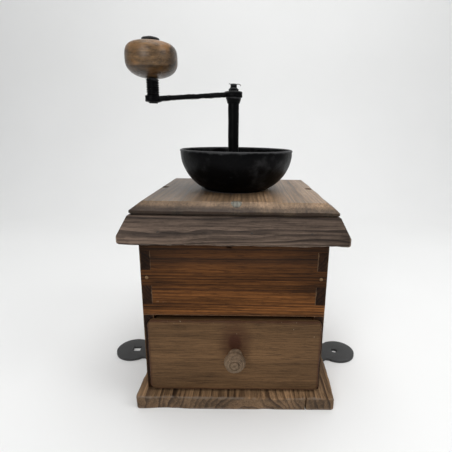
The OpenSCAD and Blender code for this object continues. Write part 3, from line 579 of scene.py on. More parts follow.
@dataclass(frozen=True)
class Iron:
    """Forged or cast iron with scale, dents, rubbed high spots and a pale top band that is partly painted
    highlight.
    """

    name: str
    slot: str
    base: Colour
    bare: Colour
    rust: Colour = (0.05, 0.022, 0.012)
    metal: float = 0.75
    rough: float = 0.46
    dent_mm: float = 0.35
    dent_step: float = 0.09
    grit_mm: float = 0.05
    rubbed: float = 0.5
    rusty: float = 0.15
    shine: float = 0.3

    def material(self, box: tuple[Vector, Vector]) -> bpy.types.Material:
        """Builds the finish; the box sets how high the pale top band reaches, rubbed wear and painted
        highlight in one.

        Args:
            box: the piece's low and high corners, in metres.

        Returns:
            The material.
        """
        graph = Graph(self.name)
        place = graph.place()
        _, _, z = graph.split(place)
        dents = graph.noise(place, self.dent_step, detail=3.0, rough=0.55)
        grit = graph.noise(place, 1.6, detail=4.0, rough=0.7)
        cloud = graph.noise(place, 0.035, detail=4.0, rough=0.6)
        top = box[1].z / MM
        # A pale band round the top of each piece: rubbed bare metal, and also a painted highlight along the
        # rim.
        rim = (z + (dents - 0.5) * 5.0).step(top - 2.6, top - 0.6) * self.rubbed
        wear = (cloud * 0.6 + dents * 0.4).step(0.52, 0.72) * self.rubbed * 0.5
        colour = graph.mix(wear.high(rim), self.base, self.bare)
        colour = graph.mix(grit.step(0.56, 0.75) * cloud.step(0.45, 0.7) * self.rusty, colour, self.rust)
        colour = graph.shade(colour, 0.8 + grit * 0.4)
        rough = self.rough + (cloud - 0.5) * 0.25 + (grit - 0.5) * 0.15
        height = dents + grit * (self.grit_mm / self.dent_mm)
        fixed = {"Metallic": self.metal, "Specular_IOR_Level": self.shine}
        return graph.finish(colour, rough, height, self.dent_mm, **fixed)


@dataclass(frozen=True)
class Backdrop:
    """The matt white of the studio floor and wall."""

    name: str = "studio_white"
    colour: Colour = (0.86, 0.86, 0.85)

    def material(self) -> bpy.types.Material:
        """Builds the plain pale paint with a trace of unevenness.

        Returns:
            The backdrop's material.
        """
        graph = Graph(self.name)
        place = graph.place()
        cloud = graph.noise(place, 0.004, detail=2.0)
        colour = graph.shade(self.colour, 0.97 + cloud * 0.05)
        return graph.finish(colour, 0.75 + cloud * 0.05, cloud, 0.02)


# ------------------------------------------------------------------ mesh bench

Ring = list[Vector]
Section = list[tuple[float, float]]
FORWARD = Matrix.Rotation(math.pi / 2, 4, "X")


@dataclass(frozen=True)
class Span:
    """The room that a CAD node fills, in millimetres."""

    low: Vector
    high: Vector

    @classmethod
    def of(cls, node: str) -> "Span":
        """Measures a CAD node."""
        low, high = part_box(node)
        return cls(low / MM, high / MM)

    @property
    def middle(self) -> Vector:
        """Its centre."""
        return (self.low + self.high) / 2

    @property
    def size(self) -> Vector:
        """Its three sizes."""
        return self.high - self.low

    @property
    def metres(self) -> tuple[Vector, Vector]:
        """Its corners in metres, as the finishes take them."""
        return self.low * MM, self.high * MM


def rounded(corners: Sequence[Point], steps: int = 4, loop: bool = True) -> Section:
    """Rounds the corners of an outline.

    Args:
        corners: each corner's two coordinates and its radius.
        steps: how many parts each arc has.
        loop: whether the last corner joins the first one.

    Returns:
        The outline's points.
    """
    points: Section = []
    count = len(corners)
    for k, (x, y, radius) in enumerate(corners):
        end = not loop and k in (0, count - 1)
        if radius <= 0 or end:
            points.append((x, y))
            continue
        here = Vector((x, y))
        before = Vector(corners[k - 1][:2]) - here
        after = Vector(corners[(k + 1) % count][:2]) - here
        half = before.angle(after) / 2
        reach = min(radius / math.tan(half), before.length * 0.49, after.length * 0.49)
        first, last = here + before.normalized() * reach, here + after.normalized() * reach
        for n in range(steps + 1):
            t = n / steps
            points.append(tuple(first * (1 - t) ** 2 + here * (2 * t * (1 - t)) + last * t**2))
    return points


def loft(rings: Sequence[Ring], loop: bool = False) -> bmesh.types.BMesh:
    """Skins a row of rings.

    Args:
        rings: rings with the same number of points, in millimetres.
        loop: whether the last ring joins the first one; otherwise both ends are closed.

    Returns:
        The closed mesh.
    """
    bm = bmesh.new()
    rows = [[bm.verts.new(point) for point in ring] for ring in rings]
    pairs = list(zip(rows, rows[1:])) + ([(rows[-1], rows[0])] if loop else [])
    for lower, upper in pairs:
        for n in range(len(lower)):
            m = (n + 1) % len(lower)
            bm.faces.new((lower[n], lower[m], upper[m], upper[n]))
    if not loop:
        bm.faces.new(reversed(rows[0]))
        bm.faces.new(rows[-1])
    bmesh.ops.remove_doubles(bm, verts=bm.verts, dist=1e-4)
    bmesh.ops.recalc_face_normals(bm, faces=bm.faces)
    return bm


def lathe(section: Section, centre: Vector, segments: int = 64, loop: bool = False) -> bmesh.types.BMesh:
    """Turns a section of (radius, height) points about an upright axis.

    Args:
        section: the points; an open section starts and ends on the axis.
        centre: a point on the axis, whose height is added to the section's.
        segments: how many parts a turn has.
        loop: whether the section is closed, as a tube's is.

    Returns:
        The closed mesh.
    """
    turns = [2 * math.pi * n / segments for n in range(segments)]
    rings = [[centre + Vector((r * math.cos(a), r * math.sin(a), z)) for a in turns] for r, z in section]
    return loft(rings, loop)


def plan(half: tuple[float, float], corner: float, inset: float, z: float, per_side: int = 40) -> Ring:
    """Points round a rectangle with rounded corners.

    Args:
        half: half of its width and of its depth.
        corner: radius of its corners.
        inset: how far it is drawn in from that size.
        z: its height.
        per_side: parts of each straight side.

    Returns:
        The ring, anticlockwise.
    """
    ring: Ring = []
    bend = max(corner - inset, 0.2)
    flat = (half[0] - inset - bend, half[1] - inset - bend)
    arc = 6
    for quarter in range(4):
        side = quarter * math.pi / 2
        sign_x, sign_y = (1, -1, -1, 1)[quarter], (1, 1, -1, -1)[quarter]
        hub = Vector((sign_x * flat[0], sign_y * flat[1], z))
        for n in range(arc + 1):
            angle = side + math.pi / 2 * n / arc
            ring.append(hub + Vector((math.cos(angle), math.sin(angle), 0)) * bend)
        nearer = ring[-1].copy()
        next_x, next_y = (-1, -1, 1, 1)[quarter], (1, -1, -1, 1)[quarter]
        turn = side + math.pi / 2
        further = Vector((next_x * flat[0], next_y * flat[1], z))
        further += Vector((math.cos(turn), math.sin(turn), 0)) * bend
        ring.extend(nearer.lerp(further, n / per_side) for n in range(1, per_side))
    return ring


def wander(
    bm: bmesh.types.BMesh, depth_mm: float, step: float, seed: int, where: Callable | None = None
) -> None:
    """Moves the points by smooth noise, as handwork and wear do.

    Args:
        bm: the mesh, in millimetres.
        depth_mm: the largest move.
        step: noise repeats a millimetre.
        seed: picks the noise.
        where: gives the share of the move at a point, or a vector of shares.
    """
    shift = Vector((17.3, 5.1, 9.7)) * seed
    for vertex in bm.verts:
        move = noise.noise_vector(vertex.co * step + shift) * depth_mm
        share = where(vertex.co) if where else 1.0
        vertex.co += move * share if isinstance(share, Vector) else move * float(share)


def near_edge(point: Vector, half: tuple[float, float], margin: float) -> float:
    """How near a point is to the edge of a board that is centred on the origin.

    Args:
        point: the point.
        half: half of the board's width and of its depth.
        margin: how far in from the edge the share falls to 0.

    Returns:
        The share, 1 on the edge.
    """
    return max(abs(point.x) - half[0] + margin, abs(point.y) - half[1] + margin, 0) / margin


def hold(bm: bmesh.types.BMesh, low: Sequence[float], high: Sequence[float]) -> None:
    """Keeps a mesh's points inside a box."""
    for vertex in bm.verts:
        vertex.co = Vector([max(min(vertex.co[k], high[k]), low[k]) for k in range(3)])


def worn_copy(node: str, bevel_mm: float, sharp_deg: float = 35.0) -> bmesh.types.BMesh:
    """Copies a CAD node and eases its sharp edges.

    Args:
        node: the node's name.
        bevel_mm: width of the eased edges.
        sharp_deg: edges that turn more than this are eased.

    Returns:
        The mesh, in millimetres.
    """
    bm = bmesh.new()
    bm.from_mesh(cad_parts[node].data)
    bmesh.ops.scale(bm, vec=Vector((1, 1, 1)) / MM, verts=bm.verts)
    bmesh.ops.remove_doubles(bm, verts=bm.verts, dist=1e-3)
    bmesh.ops.dissolve_limit(bm, angle_limit=math.radians(0.5), verts=bm.verts, edges=bm.edges)
    sharp = [e for e in bm.edges if e.is_manifold and e.calc_face_angle() > math.radians(sharp_deg)]
    form = {"segments": 2, "affect": "EDGES", "profile": 0.5, "clamp_overlap": True}
    bmesh.ops.bevel(bm, geom=sharp, offset=bevel_mm, **form)
    bmesh.ops.triangulate(bm, faces=bm.faces)
    return bm


def join(parts: Iterable[bmesh.types.BMesh]) -> bmesh.types.BMesh:
    """Puts several meshes in one.

    Args:
        parts: the meshes.

    Returns:
        One mesh that holds them all.
    """
    whole = bmesh.new()
    for part in parts:
        step = bpy.data.meshes.new("part")
        part.to_mesh(step)
        whole.from_mesh(step)
        bpy.data.meshes.remove(step)
    return whole


def as_object(bm: bmesh.types.BMesh, name: str) -> bpy.types.Object:
    """Makes a linked object of a mesh in millimetres.

    Args:
        bm: the mesh.
        name: the object's name.

    Returns:
        The linked object.
    """
    mesh = bpy.data.meshes.new(name)
    bm.to_mesh(mesh)
    made = bpy.data.objects.new(name, mesh)
    bpy.context.scene.collection.objects.link(made)
    return made


def settled(made: bpy.types.Object) -> bmesh.types.BMesh:
    """Applies an object's modifiers and removes the object.

    Args:
        made: the object.

    Returns:
        Its finished mesh.
    """
    graph = bpy.context.evaluated_depsgraph_get()
    mesh = bpy.data.meshes.new_from_object(made.evaluated_get(graph), depsgraph=graph)
    bm = bmesh.new()
    bm.from_mesh(mesh)
    bpy.data.meshes.remove(mesh)
    bpy.data.objects.remove(made)
    return bm


def cut_away(bm: bmesh.types.BMesh, cutter: bmesh.types.BMesh) -> bmesh.types.BMesh:
    """Cuts one mesh out of another.

    Args:
        bm: the mesh that stays.
        cutter: the mesh that is taken out of it.

    Returns:
        What is left.
    """
    made, tool = as_object(bm, "stock"), as_object(cutter, "cutter")
    cut = made.modifiers.new("cut", "BOOLEAN")
    cut.operation, cut.solver, cut.object = "DIFFERENCE", "EXACT", tool
    whole = settled(made)
    bpy.data.objects.remove(tool)
    return whole


def forged(bm: bmesh.types.BMesh, grain_mm: float, passes: int) -> bmesh.types.BMesh:
    """Fuses overlapping parts into one softened skin, as hammering does.

    Args:
        bm: the overlapping parts.
        grain_mm: size of the new skin's facets.
        passes: how often the skin is smoothed.

    Returns:
        The fused mesh.
    """
    made = as_object(bm, "billet")
    weld = made.modifiers.new("weld", "REMESH")
    weld.mode, weld.voxel_size = "VOXEL", grain_mm
    soften = made.modifiers.new("soften", "SMOOTH")
    soften.factor, soften.iterations = 0.5, passes
    return settled(made)


def rod(centre: Vector, radius: float, low: float, high: float, segments: int = 32) -> bmesh.types.BMesh:
    """An upright round bar between two heights, mostly used to cut or fuse."""
    return lathe([(0, low), (radius, low), (radius, high), (0, high)], centre, segments)


@dataclass
class Piece:
    """One finished piece of the mill."""

    name: str
    body: str
    slot: str
    bm: bmesh.types.BMesh
    material: bpy.types.Material
    nodes: tuple[str, ...]
    smooth_deg: float = 38.0
    flat: bool = False

    @classmethod
    def of(
        cls,
        name: str,
        body: str,
        finish: "Wood | Iron",
        bm: bmesh.types.BMesh,
        node: str,
        smooth_deg: float = 38.0,
        flat: bool = False,
    ) -> "Piece":
        """A piece that stands for one CAD node.

        Args:
            name: the piece's name.
            body: the body that it rides on.
            finish: its finish, fitted to the node's box.
            bm: its mesh, in millimetres.
            node: the CAD node that it replaces.
            smooth_deg: edges that turn more than this stay sharp.
            flat: whether its large faces are shaded flat.

        Returns:
            The piece, not yet placed.
        """
        material = finish.material(Span.of(node).metres)
        return cls(name, body, finish.slot, bm, material, (node,), smooth_deg, flat)

    def place(self) -> bpy.types.Object:
        """Turns the mesh into a piece that rides on its body.

        Returns:
            The piece's object.
        """
        bmesh.ops.scale(self.bm, vec=Vector((MM, MM, MM)), verts=self.bm.verts)
        mesh = bpy.data.meshes.new(self.name)
        self.bm.to_mesh(mesh)
        mesh.shade_smooth()
        mesh.set_sharp_from_angle(angle=math.radians(self.smooth_deg))
        mesh.materials.clear()
        mesh.materials.append(self.material)
        for polygon in mesh.polygons:
            polygon.material_index = 0
        made = bpy.data.objects.new(self.name, mesh)
        bpy.context.scene.collection.objects.link(made)
        if self.flat:
            mesh = self.evened(made)
        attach(made, self.body)
        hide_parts(*self.nodes)
        LOG.info("%s: %d faces, rides on %s", self.name, len(mesh.polygons), self.body)
        return made

    def evened(self, made: bpy.types.Object) -> bpy.types.Mesh:
        """Evens the shading of large flat faces.

        Args:
            made: the piece's object, whose mesh is replaced.

        Returns:
            The new mesh.
        """
        even = made.modifiers.new("even", "WEIGHTED_NORMAL")
        even.keep_sharp, even.weight = True, 100
        graph = bpy.context.evaluated_depsgraph_get()
        smoothed = bpy.data.meshes.new_from_object(made.evaluated_get(graph))
        made.modifiers.clear()
        rough = made.data
        made.data = smoothed
        smoothed.name = self.name
        bpy.data.meshes.remove(rough)
        return smoothed


def dress(nodes: Iterable[str], finish: "Wood | Iron") -> None:
    """Gives CAD nodes that stay as they are their finish.

    Args:
        nodes: the nodes' names.
        finish: the finish, made once for each node.
    """
    for node in nodes:
        material = finish.material(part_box(node))
        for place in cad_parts[node].material_slots:
            place.material = material
        LOG.info("%s: CAD shape with %s", node, finish.name)


# ------------------------------------------------------------------ repeated pieces


class Pattern:
    """A Geometry Nodes tree that is built in the script and used once."""

    def __init__(self, name: str, inputs: dict[str, tuple[str, object]]) -> None:
        """Starts a tree.

        Args:
            name: the tree's name.
            inputs: each input's socket type and value, by its name.
        """
        self.tree = bpy.data.node_groups.new(name, "GeometryNodeTree")
        self.values = {key: value for key, (_, value) in inputs.items()}
        self.tree.interface.new_socket("Geometry", in_out="INPUT", socket_type="NodeSocketGeometry")
        for key, (kind, _) in inputs.items():
            self.tree.interface.new_socket(key, in_out="INPUT", socket_type=kind)
        self.tree.interface.new_socket("Geometry", in_out="OUTPUT", socket_type="NodeSocketGeometry")
        self.given = self.tree.nodes.new("NodeGroupInput").outputs

    def node(self, kind: str, settings: dict | None = None, inputs: dict | None = None) -> dict:
        """Adds a node, sets its options, then its inputs.

        Args:
            kind: the node's type.
            settings: option values by attribute name.
            inputs: values or output sockets by socket name.

        Returns:
            The node's enabled outputs by name.
        """
        made = self.tree.nodes.new(kind)
        for option, value in (settings or {}).items():
            setattr(made, option, value)
        for key, value in (inputs or {}).items():
            target = [s for s in made.inputs if s.enabled and s.name == key][0]
            if isinstance(value, bpy.types.NodeSocket):
                self.tree.links.new(value, target)
            else:
                target.default_value = value
        return {s.name: s for s in made.outputs if s.enabled}

    def close(self, geometry: bpy.types.NodeSocket) -> None:
        """Ends the tree in real mesh with its finish.

        Args:
            geometry: the tree's last geometry.
        """
        real = self.node("GeometryNodeRealizeInstances", inputs={"Geometry": geometry})["Geometry"]
        finish = {"Geometry": real, "Material": self.given["Finish"]}
        dressed = self.node("GeometryNodeSetMaterial", inputs=finish)
        out = self.tree.nodes.new("NodeGroupOutput")
        self.tree.links.new(dressed["Geometry"], out.inputs["Geometry"])

    def grow(self, seedling: bpy.types.Object) -> bmesh.types.BMesh:
        """Runs the tree on an object and removes the object.

        Args:
            seedling: the object with the points or mesh that the tree starts from.

        Returns:
            The grown mesh, in the seedling's units.
        """
        modifier = seedling.modifiers.new("pattern", "NODES")
        modifier.node_group = self.tree
        for item in self.tree.interface.items_tree:
            if item.in_out == "INPUT" and item.name in self.values:
                modifier[item.identifier] = self.values[item.name]
        return settled(seedling)


@dataclass(frozen=True)
class Fixing:
    """Where one fastener sits and how large it is, in millimetres."""

    head: Vector
    way: Vector
    length: float
    head_r: float
    shank_r: float


def fixings(node: str) -> list[Fixing]:
    """Reads each fastener's place from the loose parts of a CAD node.

    Args:
        node: the node that holds the fasteners.

    Returns:
        One entry for each fastener.
    """
    bm = bmesh.new()
    bm.from_mesh(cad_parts[node].data)
    bmesh.ops.remove_doubles(bm, verts=bm.verts, dist=1e-6)
    bm.verts.ensure_lookup_table()
    unseen, found = set(bm.verts), []
    while unseen:
        stack = [min(unseen, key=lambda v: v.index)]
        part = set(stack)
        while stack:
            for edge in stack.pop().link_edges:
                for vertex in edge.verts:
                    if vertex not in part:
                        part.add(vertex)
                        stack.append(vertex)
        unseen -= part
        points = [vertex.co / MM for vertex in part]
        low = Vector(map(min, zip(*points)))
        high = Vector(map(max, zip(*points)))
        size = high - low
        axis = max(range(3), key=lambda k: size[k])
        middle = (low + high) / 2
        across = [k for k in range(3) if k != axis]
        radii = []
        for end in (low[axis], high[axis]):
            near = [p for p in points if abs(p[axis] - end) < size[axis] * 0.12]
            radii.append(max(math.hypot(*(p[k] - middle[k] for k in across)) for p in near))
        way, head = Vector((0, 0, 0)), middle.copy()
        way[axis] = 1.0 if radii[1] > radii[0] else -1.0
        head[axis] = high[axis] if radii[1] > radii[0] else low[axis]
        found.append(Fixing(head, way, size[axis], max(radii), min(radii)))
    bm.free()
    return found


@dataclass(frozen=True)
class Fasteners:
    """A set of like screws or nails."""

    node: str
    body: str
    head: Head
    finish: Iron
    spin: float = math.pi
    seed: int = 3

    def template(self, size: Fixing) -> bmesh.types.BMesh:
        """Makes one fastener, its head's top at the origin and its shank downwards.

        Args:
            size: the fastener's sizes.

        Returns:
            Its mesh.
        """
        r, shank, low = size.head_r, size.shank_r, -size.length
        if self.head is Head.COUNTERSUNK:
            outline = [(0, 0, 0), (r, 0, 0.25), (r, -0.35, 0.1), (shank, -r * 0.8, 0.3)]
        elif self.head is Head.ROUND:
            deep = -r * 0.62
            outline = [(0, 0, 0), (r * 0.62, 0, 0.9), (r, -r * 0.5, 0.5), (r, deep, 0.1), (shank, deep, 0)]
        else:
            outline = [(0, 0.05, 0), (r * 0.8, 0, 0.3), (r, -0.25, 0.15), (r, -0.6, 0.1), (shank, -0.8, 0)]
        outline += [(shank, low + shank, 0.4), (0, low, 0)]
        bm = lathe(rounded(outline, 3, loop=False), Vector(), 24)
        if self.head is Head.NAIL:
            wander(bm, 0.18, 0.9, seed=self.seed)
            return bm
        slot = join([loft([plan((r * 1.2, 0.42), 0.1, 0, z, 2) for z in (-r * 0.32, 1.0)])])
        return cut_away(bm, slot)

    def build(self) -> bpy.types.Object:
        """Sets a fastener on every place that the CAD gives.

        Returns:
            The object with all the fasteners.
        """
        places = fixings(self.node)
        template = as_object(self.template(places[0]), self.node + "_template")
        points = bpy.data.meshes.new(self.node + "_points")
        points.from_pydata([p.head for p in places], [], [])
        way = points.attributes.new("way", "FLOAT_VECTOR", "POINT")
        for entry, place in zip(way.data, places):
            entry.vector = place.way
        seedling = bpy.data.objects.new(self.node + "_points", points)
        bpy.context.scene.collection.objects.link(seedling)
        material = self.finish.material(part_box(self.node))
        inputs = {
            "Fastener": ("NodeSocketObject", template),
            "Spin": ("NodeSocketFloat", self.spin),
            "Seed": ("NodeSocketInt", self.seed),
            "Finish": ("NodeSocketMaterial", material),
        }
        pattern = Pattern(self.node + "_pattern", inputs)
        given = pattern.given
        info = pattern.node(
            "GeometryNodeObjectInfo", {"transform_space": "ORIGINAL"}, {"Object": given["Fastener"]}
        )
        named = pattern.node(
            "GeometryNodeInputNamedAttribute", {"data_type": "FLOAT_VECTOR"}, {"Name": "way"}
        )
        aimed = pattern.node(
            "FunctionNodeAlignRotationToVector", {"axis": "Z"}, {"Vector": named["Attribute"]}
        )
        angle = pattern.node(
            "FunctionNodeRandomValue", {"data_type": "FLOAT"}, {"Max": given["Spin"], "Seed": given["Seed"]}
        )
        about = {"Axis": (0, 0, 1), "Angle": angle["Value"]}
        spun = pattern.node("FunctionNodeAxisAngleToRotation", inputs=about)
        turned = pattern.node(
            "FunctionNodeRotateRotation",
            {"rotation_space": "LOCAL"},
            {"Rotation": aimed["Rotation"], "Rotate By": spun["Rotation"]},
        )
        spots = {"Points": given["Geometry"], "Instance": info["Geometry"], "Rotation": turned["Rotation"]}
        placed = pattern.node("GeometryNodeInstanceOnPoints", inputs=spots)
        pattern.close(placed["Instances"])
        bm = pattern.grow(seedling)
        bpy.data.objects.remove(template)
        return Piece(self.node + "_set", self.body, self.finish.slot, bm, material, (self.node,)).place()


# ------------------------------------------------------------------ finishes of this mill

OAK = Wood(
    name="base_oak",
    slot="dark_base_wood",
    early=(0.25, 0.15, 0.078),
    late=(0.035, 0.019, 0.011),
    pore=(0.018, 0.011, 0.008),
    worn=(0.22, 0.17, 0.13),
    grain=Axis.Y,
    pith=(15.0, -14.0),
    ring_mm=5.0,
    warp_mm=2.5,
    sway_mm=1.2,
    end_shade=0.35,
    wear_mm=2.2,
    patches=0.5,
    bands=0.9,
    streaks=0.9,
    end_worn=0.12,
)
CASE_WOOD = Wood(
    name="case_side_wood",
    slot="case_wood",
    early=(0.13, 0.05, 0.016),
    late=(0.03, 0.011, 0.005),
    pore=(0.015, 0.008, 0.006),
    worn=(0.18, 0.11, 0.06),
    grain=Axis.Y,
    pith=(0.0, -40.0),
    ring_mm=3.2,
    end_shade=0.8,
    wear_mm=1.0,
    bands=0.7,
    streaks=0.8,
)
PANEL_WOOD = PanelWood(
    name="front_panel_wood",
    slot="panel_wood",
    early=(0.13, 0.049, 0.0125),
    late=(0.02, 0.0075, 0.003),
    pore=(0.01, 0.004, 0.002),
    worn=(0.26, 0.16, 0.09),
    grain=Axis.X,
    pith=(-30.0, -60.0),
    ring_mm=3.4,
    warp_mm=0.9,
    sway_mm=1.1,
    contrast=0.75,
    fibre=0.75,
    wear_mm=0.6,
    bands=1.0,
    streaks=0.9,
)
CORNICE_WOOD = Wood(
    name="cornice_weathered",
    slot="cornice_wood",
    early=(0.17, 0.12, 0.09),
    late=(0.04, 0.028, 0.022),
    pore=(0.022, 0.017, 0.015),
    worn=(0.33, 0.26, 0.2),
    grain=Axis.X,
    pith=(-60.0, 130.0),
    ring_mm=4.0,
    warp_mm=9.0,
    sway_mm=4.0,
    end_shade=0.2,
    wear_mm=1.5,
    relief_mm=0.3,
    rough=0.6,
    coat=0.03,
    bands=0.6,
    streaks=0.7,
    patches=0.6,
)
LID_WOOD = LidWood(
    name="lid_weathered",
    slot="lid_wood",
    early=(0.19, 0.122, 0.07),
    late=(0.055, 0.034, 0.02),
    pore=(0.03, 0.022, 0.017),
    worn=(0.2, 0.155, 0.115),
    grain=Axis.Y,
    pith=(-130.0, 190.0),
    ring_mm=4.2,
    warp_mm=1.6,
    sway_mm=1.6,
    end_shade=0.45,
    wear_mm=1.2,
    patches=0.5,
    rough=0.42,
    coat=0.06,
    bands=0.9,
    streaks=0.7,
    calm=0.75,
    shine=0.22,
)
PLUG_WOOD = replace(
    LID_WOOD,
    name="plug_wood",
    early=(0.13, 0.125, 0.1),
    late=(0.06, 0.055, 0.045),
    worn=(0.2, 0.19, 0.16),
    calm=0.0,
)
DRAWER_WOOD = DrawerWood(
    name="drawer_front_wood",
    slot="drawer_wood",
    early=(0.145, 0.08, 0.037),
    late=(0.06, 0.031, 0.014),
    pore=(0.035, 0.019, 0.012),
    worn=(0.19, 0.13, 0.075),
    grain=Axis.X,
    pith=(-20.0, -120.0),
    ring_mm=1.5,
    warp_mm=0.7,
    sway_mm=0.8,
    contrast=0.45,
    wear_mm=1.1,
    patches=0.5,
    bands=0.45,
    streaks=0.4,
)
BOX_WOOD = Wood(
    name="drawer_box_pine",
    slot="drawer_box_wood",
    early=(0.4, 0.27, 0.15),
    late=(0.26, 0.155, 0.075),
    pore=(0.14, 0.085, 0.045),
    worn=(0.46, 0.34, 0.21),
    grain=Axis.Y,
    pith=(0.0, -60.0),
    end_shade=0.2,
    wear_mm=0.8,
    rough=0.7,
    coat=0.0,
    bands=0.15,
    streaks=0.3,
)
KNOB_WOOD = TurnedWood(
    name="drawer_knob_wood",
    slot="drawer_knob_wood",
    early=(0.2, 0.135, 0.085),
    late=(0.06, 0.04, 0.026),
    pore=(0.04, 0.028, 0.02),
    worn=(0.22, 0.17, 0.12),
    glow=(0.19, 0.135, 0.085),
    grain=Axis.Y,
    pith=(0.0, 0.0),
    ring_mm=2.2,
    warp_mm=0.6,
    sway_mm=0.3,
    spin=Axis.Y,
    end_shade=0.0,
    wear_mm=0.8,
    bands=0.3,
    streaks=0.5,
    contrast=0.35,
    tooled=0.55,
    tool_mm=1.6,
)
HANDLE_WOOD = TurnedWood(
    name="handle_wood",
    slot="handle_wood",
    early=(0.17, 0.098, 0.042),
    late=(0.028, 0.015, 0.008),
    pore=(0.03, 0.016, 0.01),
    worn=(0.26, 0.14, 0.065),
    glow=(0.29, 0.14, 0.045),
    grain=Axis.X,
    pith=(-30.0, 300.0),
    ring_mm=5.0,
    warp_mm=1.0,
    sway_mm=0.8,
    tool_mm=1.3,
    rough=0.32,
    coat=0.15,
    wear_mm=0.0,
    bands=0.5,
    streaks=1.2,
    shine=0.3,
    wear=0.8,
    contrast=0.6,
)
BLACK_IRON = Iron(
    name="black_forged_iron",
    slot="black_iron",
    base=(0.0007, 0.0008, 0.0011),
    bare=(0.07, 0.07, 0.072),
    metal=0.0,
    rough=0.4,
    rusty=0.05,
    shine=0.07,
    dent_mm=0.55,
    rubbed=0.6,
)
EAR_IRON = Iron(
    name="flat_grey_iron",
    slot="grey_iron",
    base=(0.045, 0.045, 0.045),
    bare=(0.09, 0.09, 0.09),
    metal=0.3,
    rough=0.6,
    dent_mm=0.2,
    rubbed=0.25,
)
BURR_IRON = Iron(
    name="cast_burr_iron",
    slot="burr_iron",
    base=(0.07, 0.07, 0.073),
    bare=(0.3, 0.3, 0.3),
    metal=0.85,
    rough=0.5,
    dent_mm=0.15,
    dent_step=0.3,
)
NAIL_IRON = Iron(
    name="nail_iron",
    slot="nail_iron",
    base=(0.03, 0.026, 0.023),
    bare=(0.25, 0.23, 0.2),
    metal=0.6,
    rough=0.55,
    dent_mm=0.1,
    dent_step=0.8,
    rusty=0.5,
)
CORNICE_NAIL_IRON = replace(
    NAIL_IRON,
    name="cornice_nail_iron",
    base=(0.012, 0.01, 0.009),
    bare=(0.05, 0.045, 0.04),
    metal=0.1,
)
NAIL_PUTTY = replace(
    NAIL_IRON,
    name="nail_putty",
    base=(0.16, 0.09, 0.04),
    bare=(0.3, 0.2, 0.11),
    metal=0.0,
    shine=0.1,
)
SCREW_STEEL = Iron(
    name="dull_screw_steel",
    slot="screw_steel",
    base=(0.12, 0.11, 0.1),
    bare=(0.35, 0.34, 0.32),
    metal=0.85,
    rough=0.45,
    dent_mm=0.06,
    dent_step=0.8,
    rusty=0.35,
)
BALL_STEEL = Iron(
    name="bright_ball_steel",
    slot="bright_steel",
    base=(0.45, 0.45, 0.46),
    bare=(0.6, 0.6, 0.6),
    metal=1.0,
    rough=0.25,
    dent_mm=0.02,
    dent_step=0.8,
    rusty=0.05,
)

# ------------------------------------------------------------------ sub-assemblies


@dataclass
class Base:
    """The worn base board, the iron strap let into its underside and their screws."""

    corner: float = 4.0
    ease: float = 2.6
    crack_x: float = 70.0
    crack_w: float = 1.7
    crack_deep: float = 19.0
    pocket_w: float = 43.4
    rub_w: float = 9.0
    wave: float = 2.4
    fray: float = 0.8

    def board(self) -> Piece:
        """The board with wavy edges, a split at the front and a pocket for the strap.

        Returns:
            The board, ready to place.
        """
        room, strap = Span.of("base_plate"), Span.of("mount_strap")
        half = (room.size.x / 2, room.size.y / 2)
        top = room.size.z
        corners = [(1.0, 0, 0.0), (0, 0, 0.7), (0, top, self.ease), (self.rub_w, top, 0.0)]
        section = rounded(corners, 6, loop=False)
        section = [(self.ease * 4, 0.0), *section]
        bm = loft([plan(half, self.corner, inset, z, 70) for inset, z in section])

        def edge_share(point: Vector) -> Vector:
            """How much each axis may move at a point of the board."""
            near = near_edge(point, half, self.rub_w)
            return Vector((near, near, -abs(near) if point.z > top * 0.6 else 0))

        wander(bm, self.wave, 0.03, seed=4, where=edge_share)
        wander(bm, self.fray, 0.16, seed=5, where=lambda p: edge_share(p) * (0.3 + 0.7 * p.z / top))
        hold(bm, (-half[0], -half[1], 0), (*half, top))
        bmesh.ops.translate(bm, vec=Vector((room.middle.x, room.middle.y, 0)), verts=bm.verts)
        bm = cut_away(bm, self.split(room))
        block = (strap.size.x, self.pocket_w / 2)
        pocket = loft([plan(block, 0.3, 0, z, 2) for z in (-1.0, strap.size.z + 0.1)])
        bmesh.ops.translate(pocket, vec=Vector((0, strap.middle.y, 0)), verts=pocket.verts)
        bm = cut_away(bm, pocket)
        return Piece.of("base_board", "case", OAK, bm, "base_plate")

    def split(self, room: Span) -> bmesh.types.BMesh:
        """The wedge that the drying crack takes out of the board's front edge.

        Args:
            room: the board's room.

        Returns:
            The wedge's mesh.
        """
        outline = [(-1, -3), (1, -3), (0.55, 6), (0.2, self.crack_deep), (-0.5, 5)]
        rings = []
        for z in (-1, 2, 5, 8, 11, room.size.z + 1):
            ring = []
            for n, (side, y) in enumerate(outline):
                x = self.crack_x + side * self.crack_w / 2 * (1.15 - n / 5) + math.sin(2.3 * z) * 0.3
                ring.append(Vector((x, room.low.y + y, z)))
            rings.append(ring)
        return loft(rings)

    def strap(self) -> Piece:
        """The strap with its two drilled ears."""
        bm = worn_copy("mount_strap", 0.45)
        return Piece.of("strap_and_ears", "case", EAR_IRON, bm, "mount_strap")

    def build(self) -> None:
        """Makes the base's pieces."""
        self.board().place()
        self.strap().place()
        Fasteners("strap_screws", "case", Head.COUNTERSUNK, SCREW_STEEL, seed=5).build()
        Fasteners("base_screws", "case", Head.COUNTERSUNK, SCREW_STEEL, seed=6).build()


